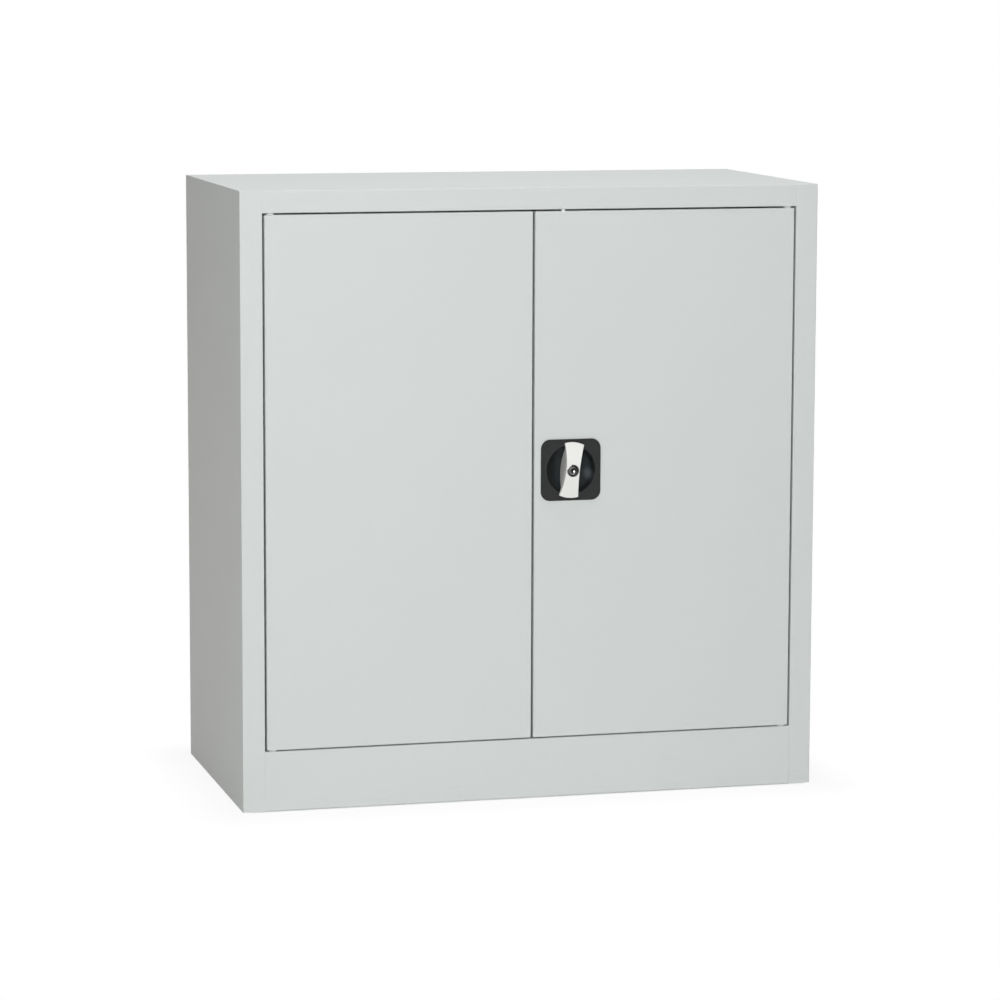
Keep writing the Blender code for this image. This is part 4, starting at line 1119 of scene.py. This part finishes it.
@dataclass
class DishHandle:
    """Square moulded plate with a bowl for the fingers, and the screws that hold it.

    The border's insets are taken from the rounding, the rim's widths from the bowl's radius,
    and their depths from the plate's front.
    """

    plate: float = 0.0955
    corner: float = 0.0145
    least_corner: float = 0.004
    proud: float = 0.0025
    back: float = 0.0003
    edge: float = 0.0003
    bowl: float = 0.0385
    bowl_depth: float = 0.030
    bowl_steps: int = 26
    wall: float = 0.002
    wall_steps: int = 18
    hub: float = 0.0058
    boss: float = 0.013
    boss_end: float = 0.0312
    boss_edge: float = 0.0005
    round_over: float = 0.0011
    border: tuple[Point, ...] = ((0.0016, 0.0), (0.00185, 0.0003), (0.0028, 0.0003))
    rim: tuple[Point, ...] = (
        (0.0030, 0.0003), (0.0018, 0.0003), (0.0015, 0.0), (0.0008, -0.0002), (0.0003, 0.0)
    )
    count: int = 160
    black: Colour = (0.016, 0.017, 0.017)
    centre: Vector = field(default_factory=Vector)

    def place(self) -> None:
        """Take the centre from the CAD, on the plane of the cupboard's front."""
        low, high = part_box("handle_dish")
        self.centre = Vector(((low.x + high.x) / 2, low.y + self.proud, (low.z + high.z) / 2))

    def square(self, inset: float, depth: float) -> list[Vector]:
        """A ring of the plate's outline, drawn in by some distance."""
        corner = max(self.corner - inset, self.least_corner)
        return radial_ring(partial(square_reach, self.plate / 2 - inset, corner), depth, self.count)

    def arc(self, radius: float, depth: float, inner: float, steps: int) -> list[Point]:
        """The curve of a bowl, from its rim down towards its middle.

        Args:
            radius: The bowl's radius at the rim.
            depth: How deep the whole bowl would be.
            inner: The radius at which the curve ends.
            steps: How many steps it has.

        Returns:
            Pairs of a radius and a depth.
        """
        last = math.acos(inner / radius)
        angles = [last * step / steps for step in range(steps + 1)]
        return [(radius * math.cos(a), depth * math.sin(a) - self.proud) for a in angles]

    def dish(self) -> None:
        """Build the plate and the bowl in one skin, back and front."""
        front, end, outer = -self.proud, self.boss_end, self.bowl + self.wall
        rings = [self.square(self.edge, -self.back), self.square(0, -self.back - self.edge)]
        border = [(self.round_over + inset, depth) for inset, depth in self.border]
        for inset, depth in quarter_round(self.round_over, 6) + border:
            rings.append(self.square(inset, front + depth))
        profile = [(self.bowl + wide, front + depth) for wide, depth in self.rim]
        profile += self.arc(self.bowl, self.bowl_depth, self.hub, self.bowl_steps)[1:]
        profile += [(self.hub, end - self.edge), (self.hub + self.edge, end)]
        profile += [(self.boss - self.boss_edge, end), (self.boss, end - self.boss_edge)]
        back = self.arc(outer, self.bowl_depth + self.wall, self.boss, self.wall_steps)
        profile += [*back[:1:-1], (outer, -self.back)]
        rings += turned(profile, self.count)
        centre = tuple(self.centre)
        finish = MouldedBlack("black_moulding", "black_plastic", self.black, centre, self.bowl)
        form = Form().loft(rings, closed=True).move(Matrix.Translation(self.centre))
        form.save("handle_dish_moulding", Body.RIGHT_DOOR, finish, ["handle_dish"])

    def build(self) -> None:
        """Build the dish and its four screws."""
        self.place()
        self.dish()
        for index in range(1, 5):
            node = f"dish_screw_{index}"
            low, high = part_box(node)
            screw = Screw(node, node + "_pan_head", Body.RIGHT_DOOR)
            screw.build((low.x + high.x) / 2, (low.z + high.z) / 2)


@dataclass
class LeverLock:
    """The pale lever with its web, the lock barrel, the key plug and the spindle.

    The groove and the lips are pairs of a distance sideways and a depth behind the front, and
    the slot is half its height and half its width. The hole has its play at the face and below.
    Beside the lock the groove is pulled to the edge: from what height on it leaves the edge,
    over what length, and the least share of its distance that it keeps.
    """

    centre: Vector
    tilt: float = math.radians(6.3)
    reach: float = 0.04345
    end_width: float = 0.0306
    waist: float = 0.0214
    underside: float = 0.0033
    end_front: float = 0.006
    crown: float = 0.0095
    edge: float = 0.0007
    under_edge: float = 0.0004
    side_steps: int = 20
    end_steps: int = 6
    groove: tuple[Point, ...] = ((0.0013, 0), (0.00148, 0.00016), (0.00178, 0.00016), (0.00196, 0))
    beside: tuple[float, float, float] = (0.0025, 0.003, 0.1)
    face_steps: int = 8
    hole: Point = (0.0005, 0.0003)
    hole_bottom: float = 0.0045
    web_width: float = 0.018
    web_reach: float = 0.035
    web_depth: float = 0.028
    web_root: float = 0.0007
    web_edge: float = 0.0008
    web_middle: float = 0.008
    web_count: int = 96
    plate_proud: float = 0.0025
    proud: float = 0.016
    barrel: float = 0.0092
    barrel_count: int = 120
    flat_share: float = 0.82
    least_share: float = 1e-3
    spindle_edge: float = 0.0002
    barrel_length: float = 0.0112
    lip: float = 0.0012
    inner_lip: Point = (0.0004, 0.0002)
    bore_lip: tuple[Point, ...] = ((0.0008, 0.0006), (0.0005, 0.0006), (0.0002, 0.0004), (0.0, 0.0006))
    plug: float = 0.0062
    plug_count: int = 96
    plug_play: float = 0.00025
    plug_sunk: float = 0.0004
    plug_lip: tuple[Point, ...] = ((0.0, 0.0004), (0.0002, 0.0001), (0.0006, 0.0))
    slot: Point = (0.0036, 0.0007)
    slot_lip: Point = (0.0003, 0.0004)
    slot_depth: float = 0.0066
    hollow: float = 0.0068
    hollow_reach: float = 0.0050
    hollow_steps: int = 4
    # Radius of the painted highlight on the plug's face.
    rubbed: float = 0.0015
    silver: Colour = (0.83, 0.83, 0.80)
    chrome: Colour = (0.034, 0.034, 0.033)
    nickel: Colour = (0.220, 0.220, 0.215)

    def seat(self, turn: float = 0.0) -> Matrix:
        """The place of a piece that is built about the handle's axis."""
        return Matrix.Translation(self.centre) @ Matrix.Rotation(turn, 4, "Y")

    def crown_depth(self, along: float) -> float:
        """Depth of the lever's front at a distance from the middle."""
        radius = (self.reach**2 + self.crown**2) / (2 * self.crown)
        return -self.end_front - self.crown + radius - math.sqrt(radius**2 - along**2)

    def outline(self) -> list[Point]:
        """The bow-tie outline of the blade, from its right side round by the top.

        Returns:
            Its points, across and along the blade, closest together at the waist.
        """
        half_end, half_waist = self.end_width / 2, self.waist / 2
        corner = math.sqrt(self.reach**2 - half_end**2)
        quarter = []
        for step in range(self.side_steps):
            share = (step / self.side_steps) ** 1.35
            quarter.append((half_waist + (half_end - half_waist) * share**2, corner * share))
        for step in range(self.end_steps):
            x = half_end * (1 - step / self.end_steps)
            quarter.append((x, math.sqrt(self.reach**2 - x**2)))
        top = quarter + [(0.0, self.reach)] + [(-x, z) for x, z in reversed(quarter[1:])]
        return top + [(-x, -z) for x, z in top]

    def inset_ring(self, inset: float, depth: float, slim: bool = False) -> list[Vector]:
        """The outline drawn in evenly, with sharp corners, at a depth behind the crowned front.

        Args:
            inset: How far it is drawn in.
            depth: The depth behind the crowned front.
            slim: Whether it runs closer to the edge, and flush, beside the lock.

        Returns:
            The ring's points.
        """
        points = [Vector(point) for point in self.outline()]
        start, blend, least = self.beside
        ring = []
        for index, point in enumerate(points):
            along = (point - points[index - 1]).normalized()
            onward = (points[(index + 1) % len(points)] - point).normalized()
            inward = Vector((-along.y - onward.y, along.x + onward.x)) / (1 + along.dot(onward))
            share = min(max((abs(point.y) - start) / blend, least), 1.0) if slim else 1.0
            x, z = point + inward * (self.edge + (inset - self.edge) * share)
            ring.append(Vector((x, self.crown_depth(z) + depth * share, z)))
        return ring

    def lock_ring(self, spare: float, points: Sequence[Vector]) -> list[Vector]:
        """The edge of the lock's hole.

        Args:
            spare: The play round the barrel.
            points: A ring, towards each point of which the edge has a point.

        Returns:
            The edge's points, on the crowned front.
        """
        ring = []
        for point in points:
            angle = math.atan2(point.z, point.x)
            reach = self.barrel_reach(-spare, angle - self.tilt)
            x, z = reach * math.cos(angle), reach * math.sin(angle)
            ring.append(Vector((x, self.crown_depth(z), z)))
        return ring

    def blade(self) -> Form:
        """The bow-tie front of the lever, with its fine groove, rounded edges and lock hole.

        Returns:
            The form, about the handle's axis.
        """
        under, bottom, count = -self.underside, -self.hole_bottom, len(self.outline())
        rings = [
            [Vector((0, under, 0))] * count,
            flattened(self.inset_ring(self.under_edge, 0), under),
            flattened(self.inset_ring(0, 0), under - self.under_edge),
        ]
        rings += [self.inset_ring(inset, depth) for inset, depth in quarter_round(self.edge, 4)]
        rings += [self.inset_ring(inset, depth, True) for inset, depth in self.groove]
        outer = rings[-1]
        hole, wall = (self.lock_ring(spare, outer) for spare in self.hole)
        for step in range(1, self.face_steps):
            between = [near.lerp(far, step / self.face_steps) for near, far in zip(outer, hole)]
            rings.append([Vector((p.x, self.crown_depth(p.z), p.z)) for p in between])
        sunk = Vector((0, self.hole[0] - self.hole[1], 0))
        rings += [hole, [point + sunk for point in wall], flattened(wall, bottom)]
        rings.append([Vector((0, bottom, 0))] * count)
        return Form().loft(rings)

    def web_ring(self, x: float, inset: float) -> list[Vector]:
        """One outline of the web: half an ellipse, closed inside the blade.

        Args:
            x: Its X.
            inset: How far it is drawn in.

        Returns:
            Its points.
        """
        ring = []
        for index in range(self.web_count):
            angle = 2 * math.pi * index / self.web_count
            depth = (self.web_depth - inset) * max(math.sin(angle), 0) - self.plate_proud
            if math.sin(angle) < 0:
                depth = -self.underside - self.web_root
            ring.append(Vector((x, depth, (self.web_reach - inset) * math.cos(angle))))
        return ring

    def web(self) -> Form:
        """The half-round web that reaches into the bowl, with rounded sides.

        Returns:
            The form, about the handle's axis.
        """
        half, rounding = self.web_width / 2, quarter_round(self.web_edge, 4)
        ends = [[Vector((x, self.web_middle, 0))] * self.web_count for x in (-half, half)]
        left = [self.web_ring(inset - half, depth) for inset, depth in rounding]
        right = [self.web_ring(half - depth, inset) for inset, depth in rounding]
        return Form().loft([ends[0], *left, *right, ends[1]])

    def lever(self) -> None:
        """Build the lever from its blade and its web."""
        finish = LeverPaint("lever_paint", "silver_lever", self.silver, tuple(self.centre), -self.tilt)
        form = self.blade().move(self.seat(self.tilt))
        form.save("handle_lever_blade", Body.HANDLE, finish, ["handle_lever"])
        self.web().move(self.seat(self.tilt)).save("handle_lever_web", Body.HANDLE, finish)

    def barrel_reach(self, inset: float, angle: float) -> float:
        """The distance to the edge of the barrel, which has a flat towards the upper left.

        Args:
            inset: How far the edge is drawn in.
            angle: The direction.

        Returns:
            The distance.
        """
        towards = math.cos(angle - 3 * math.pi / 4)
        flat = (self.barrel * self.flat_share - inset) / max(towards, self.least_share)
        return min(self.barrel - inset, flat)

    def barrel_ring(self, inset: float, depth: float) -> list[Vector]:
        """A ring of the barrel."""
        return radial_ring(partial(self.barrel_reach, inset), depth, self.barrel_count)

    def lock_barrel(self) -> None:
        """Build the barrel: a rounded lip, a groove inside it, and the bore for the plug."""
        front, bore = -self.proud, self.plug + self.plug_play
        back = front + self.barrel_length
        lip = [*quarter_round(self.lip, 6), (self.lip + self.inner_lip[0], self.inner_lip[1])]
        rings = [self.barrel_ring(0.0, back)]
        rings += [self.barrel_ring(inset, front + depth) for inset, depth in lip]
        profile = [(bore + wide, front + depth) for wide, depth in self.bore_lip]
        rings += turned([*profile, (bore, back)], self.barrel_count)
        # The barrel's plating has its left side painted paler, as painted reflection.
        finish = DarkChrome("dark_plating", "dark_chrome", self.chrome, tuple(self.centre))
        form = Form().loft(rings, closed=True).move(self.seat())
        form.save("lock_barrel_turned", Body.HANDLE, finish, ["lock_barrel"])

    def hollowed(self, point: Vector) -> Vector:
        """A point of the plug's plane front, laid on its hollow face.

        Args:
            point: The point, about the handle's axis.

        Returns:
            The point on the hollow face.
        """
        drop = math.sqrt(self.hollow**2 - point.x**2 - point.z**2)
        rim = math.sqrt(self.hollow**2 - self.hollow_reach**2)
        return point + Vector((0, max(drop - rim, 0.0), 0))

    def key_plug(self) -> None:
        """Build the plug, with a hollow face and the key's slot sunk into it."""
        count, steps, front = self.plug_count, self.hollow_steps, self.plug_sunk - self.proud
        back, deep = self.barrel_length - self.proud, front + self.slot_depth
        slot = partial(slot_reach, *self.slot)
        wide = partial(slot_reach, *(half + self.slot_lip[0] for half in self.slot))
        profile = [(0.0, back), (self.plug, back)]
        profile += [(self.plug - inset, front + depth) for inset, depth in self.plug_lip]
        rings = turned([*profile, (self.hollow_reach, front)], count)
        rim, mouth = rings[-1], radial_ring(wide, front, count)
        for step in range(1, steps + 1):
            between = [outer.lerp(inner, step / steps) for outer, inner in zip(rim, mouth)]
            rings.append([self.hollowed(point) for point in between])
        sunk = Vector((0, self.slot_lip[1], 0))
        rings.append([self.hollowed(point) + sunk for point in radial_ring(slot, front, count)])
        rings += [radial_ring(slot, deep, count), *turned([(0.0, deep)], count)]
        centre = tuple(self.centre)
        # The plug's plating carries painted reflection and a painted highlight.
        finish = DarkChrome("plug_plating", "dark_chrome", self.nickel, centre, self.rubbed)
        form = Form().loft(rings).move(self.seat())
        form.save("lock_plug_turned", Body.LOCK_PLUG, finish, ["lock_plug"])

    def spindle(self) -> None:
        """Build the spindle that joins the lever to the cam."""
        form = Form.of_node("handle_spindle").round_edges(self.spindle_edge)
        form.save("handle_spindle_turned", Body.HANDLE, ZINC_TURNED, ["handle_spindle"])

    def build(self) -> None:
        """Build the lever and what turns with it."""
        self.lever()
        self.lock_barrel()
        self.key_plug()
        self.spindle()


@dataclass
class BoltGear:
    """The cam, its screw, the two bolt rods and their guides."""

    centre: Vector
    foot_end: float = 0.0312
    rod: float = 0.00402
    rod_end: tuple[Point, ...] = ((0.0017, 0.0), (0.0013, 0.0001), (0.0002, 0.0014), (0.0, 0.0019))
    rod_start: float = 0.0228
    rod_behind: float = 0.004
    rod_steps: int = 48
    edge: float = 0.0002
    guide_edge: float = 0.0003
    turn: float = math.radians(60)

    def cam(self) -> None:
        """Build the cam with its drive pins and tongue."""
        form = Form.of_node("lock_cam").round_edges(self.edge, self.turn)
        form.save("lock_cam_cut", Body.HANDLE, ZINC_CUT, ["lock_cam"])

    def foot(self, level: Level, body: Body) -> None:
        """Build the slotted foot of one rod, cut off just past its flat part.

        Args:
            level: The upper or the lower rod.
            body: The rod's body.
        """
        node = level.word + "_rod"
        form = Form.of_node(node)
        bmesh.ops.bisect_plane(
            form.mesh,
            geom=[*form.mesh.verts, *form.mesh.edges, *form.mesh.faces],
            plane_co=(0, 0, self.centre.z + level.value * self.foot_end),
            plane_no=(0, 0, level.value),
            clear_outer=True,
        )
        bmesh.ops.holes_fill(form.mesh, edges=form.mesh.edges, sides=0)
        form.round_edges(self.edge, self.turn).save(node + "_foot", body, ZINC_DRAWN, [node])

    def shaft(self, level: Level, body: Body) -> None:
        """Build the drawn shaft of one rod, with a turned end.

        Args:
            level: The upper or the lower rod.
            body: The rod's body.
        """
        node = level.word + "_rod"
        low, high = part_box(node)
        end = high.z if level is Level.UPPER else low.z
        start = abs(end - self.centre.z) - self.rod_start
        profile = [(0, 0), *((self.rod - inset, -drop) for inset, drop in self.rod_end)]
        profile += [(self.rod, -start), (0, -start)]
        centre = Vector((self.centre.x, high.y - self.rod_behind, end))
        form = Form().spin(profile, centre, Vector((0, 0, level.value)), self.rod_steps)
        form.save(node + "_shaft", body, ZINC_DRAWN)

    def guide(self, level: Level) -> None:
        """Build one rod guide, with eased edges.

        Args:
            level: The guide of the upper or of the lower rod.
        """
        node = level.word + "_rod_guide"
        form = Form.of_node(node).round_edges(self.guide_edge)
        form.save(node + "_moulding", Body.RIGHT_DOOR, WHITE_NYLON, [node])

    def build(self) -> None:
        """Build the gear behind the handle."""
        self.cam()
        screw = SocketScrew("cam_screw", "cam_screw_domed", Body.HANDLE)
        screw.build(self.centre.x, self.centre.z)
        for level, body in RODS.items():
            self.foot(level, body)
            self.shaft(level, body)
        for level in RODS:
            self.guide(level)


# Studio


@dataclass(frozen=True)
class Softbox:
    """One large soft lamp."""

    name: str
    place: Place
    aim: Place
    size: float
    power: float
    colour: Colour = (1.0, 1.0, 1.0)

    def build(self) -> None:
        """Hang the lamp."""
        data = bpy.data.lights.new(self.name, "AREA")
        data.shape = "DISK"
        data.size = self.size
        data.energy = self.power
        data.color = self.colour
        lamp = placed(self.name, data)
        lamp.location = self.place
        beam = Vector(self.aim) - Vector(self.place)
        lamp.rotation_euler = beam.to_track_quat("-Z", "Y").to_euler()


@dataclass
class Studio:
    """Pale floor, white surroundings, soft lamps and the camera."""

    floor_radius: float = 8.0
    floor_colour: Colour = (0.90, 0.90, 0.90)
    ambient: float = 0.02
    shadow_share: float = 0.10
    fade: Point = (0.0, 0.10)
    under: float = 0.01
    eye: Place = (-1.517, -5.770, 1.280)
    yaw: float = math.radians(-14.78)
    pitch: float = math.radians(-8.03)
    roll: float = math.radians(0.18)
    lens: float = 135.54
    sensor: float = 36.0
    clip_end: float = 100.0
    lamps: tuple[Softbox, ...] = (
        Softbox("left_front_softbox", (-2.2, -5.0, 2.2), (0.0, 0.0, 0.5), 2.6, 50.0),
        Softbox("catch_light", (-2.0, -4.6, 2.0), (0.06, -0.2, 0.5), 1.1, 55.0),
        Softbox("front_softbox", (0.4, -5.6, 2.4), (0.0, 0.0, 0.5), 2.6, 82.0),
        Softbox("top_softbox", (0.0, -0.2, 3.6), (0.0, 0.0, 0.9), 2.6, 61.0),
        Softbox("left_softbox", (-1.35, 0.45, 0.45), (0.0, 0.30, 0.45), 0.6, 0.50, (1.0, 0.66, 0.46)),
        Softbox("window_softbox", (-2.4, -1.9, 0.9), (0.06, -0.2, 0.5), 1.8, 4.0, (0.94, 0.97, 1.0)),
    )

    def seen(self, graph: Graph) -> Socket:
        """Tell what is seen from light.

        Args:
            graph: The graph that needs it.

        Returns:
            1 for what the camera sees straight, mirrored or through glass, and 0 for light.
        """
        rays = graph.node("ShaderNodeLightPath", {}, {}).outputs
        kinds = ("Is Camera Ray", "Is Glossy Ray", "Is Transmission Ray")
        straight, mirrored, through = (Socket(graph, rays[kind]) for kind in kinds)
        return straight.most(mirrored).most(through)

    def floor(self) -> None:
        """Build the pale floor, which looks white and keeps the cupboard's shadow."""
        made = bpy.data.materials.new("pale_floor")
        made.use_nodes = True
        graph = Graph(made.node_tree)
        made.node_tree.nodes.remove(made.node_tree.nodes["Principled BSDF"])
        x, y, _ = graph.split(graph.place())
        half = CAD_BOX[1]
        beside = (abs(x) - half.x).most(0.0)
        before = (abs(y) - half.y).most(0.0)
        away = beside.length(before)
        inner = (abs(x) - (half.x - self.under)).most(abs(y) - (half.y - self.under))
        shown = inner.ramp(-0.001, 0.0)
        fade = away.ramp(self.fade[0], self.fade[1], 1 - self.shadow_share, 1.0) * shown
        matt = graph.add("ShaderNodeBsdfDiffuse", {}, {"Color": (*self.floor_colour, 1.0)})
        white = graph.add("ShaderNodeEmission", {}, {"Color": (1, 1, 1, 1), "Strength": 1.0})
        mixed = graph.add("ShaderNodeMixShader", {}, {0: self.seen(graph) * fade, 1: matt, 2: white})
        graph.show(mixed, "Material Output")
        mesh = bmesh.new()
        bmesh.ops.create_circle(mesh, cap_ends=True, segments=96, radius=self.floor_radius)
        data = bpy.data.meshes.new("floor")
        mesh.to_mesh(data)
        mesh.free()
        data.materials.append(made)
        placed("floor", data)

    def surroundings(self) -> None:
        """White for what is seen, and a plain grey glow for the light."""
        world = bpy.data.worlds.new("surroundings")
        world.use_nodes = True
        bpy.context.scene.world = world
        graph = Graph(world.node_tree)
        glow = (self.ambient, self.ambient, self.ambient, 1.0)
        light = graph.add("ShaderNodeBackground", {}, {"Color": glow, "Strength": 1.0})
        white = graph.add("ShaderNodeBackground", {}, {"Color": (1, 1, 1, 1), "Strength": 1.0})
        mixed = graph.add("ShaderNodeMixShader", {}, {0: self.seen(graph), 1: light, 2: white})
        graph.show(mixed, "World Output")

    def camera(self) -> None:
        """Set the camera where the photograph was taken from."""
        data = bpy.data.cameras.new("camera")
        data.lens = self.lens
        data.sensor_width = self.sensor
        data.clip_end = self.clip_end
        camera = placed("camera", data)
        turn = Matrix.Rotation(self.yaw, 4, "Z") @ Matrix.Rotation(math.pi / 2 + self.pitch, 4, "X")
        turn = turn @ Matrix.Rotation(self.roll, 4, "Z")
        camera.matrix_world = Matrix.Translation(self.eye) @ turn
        bpy.context.scene.camera = camera

    def build(self) -> None:
        """Set up the studio."""
        bpy.context.scene.view_settings.view_transform = "Standard"
        self.floor()
        self.surroundings()
        for lamp in self.lamps:
            lamp.build()
        self.camera()


def main() -> None:
    """Build the studio and the sub-assemblies in order."""
    logging.basicConfig(level=logging.INFO, format="%(message)s")
    Studio().build()
    SheetMetal().build()
    SeamPaint().build()
    Hinges().build()
    DoorBuffer().build()
    dish = DishHandle()
    dish.build()
    LeverLock(dish.centre).build()
    BoltGear(dish.centre).build()
    bpy.context.view_layer.update()
    log.info("sizes noted")


if __name__ == "__main__":
    main()
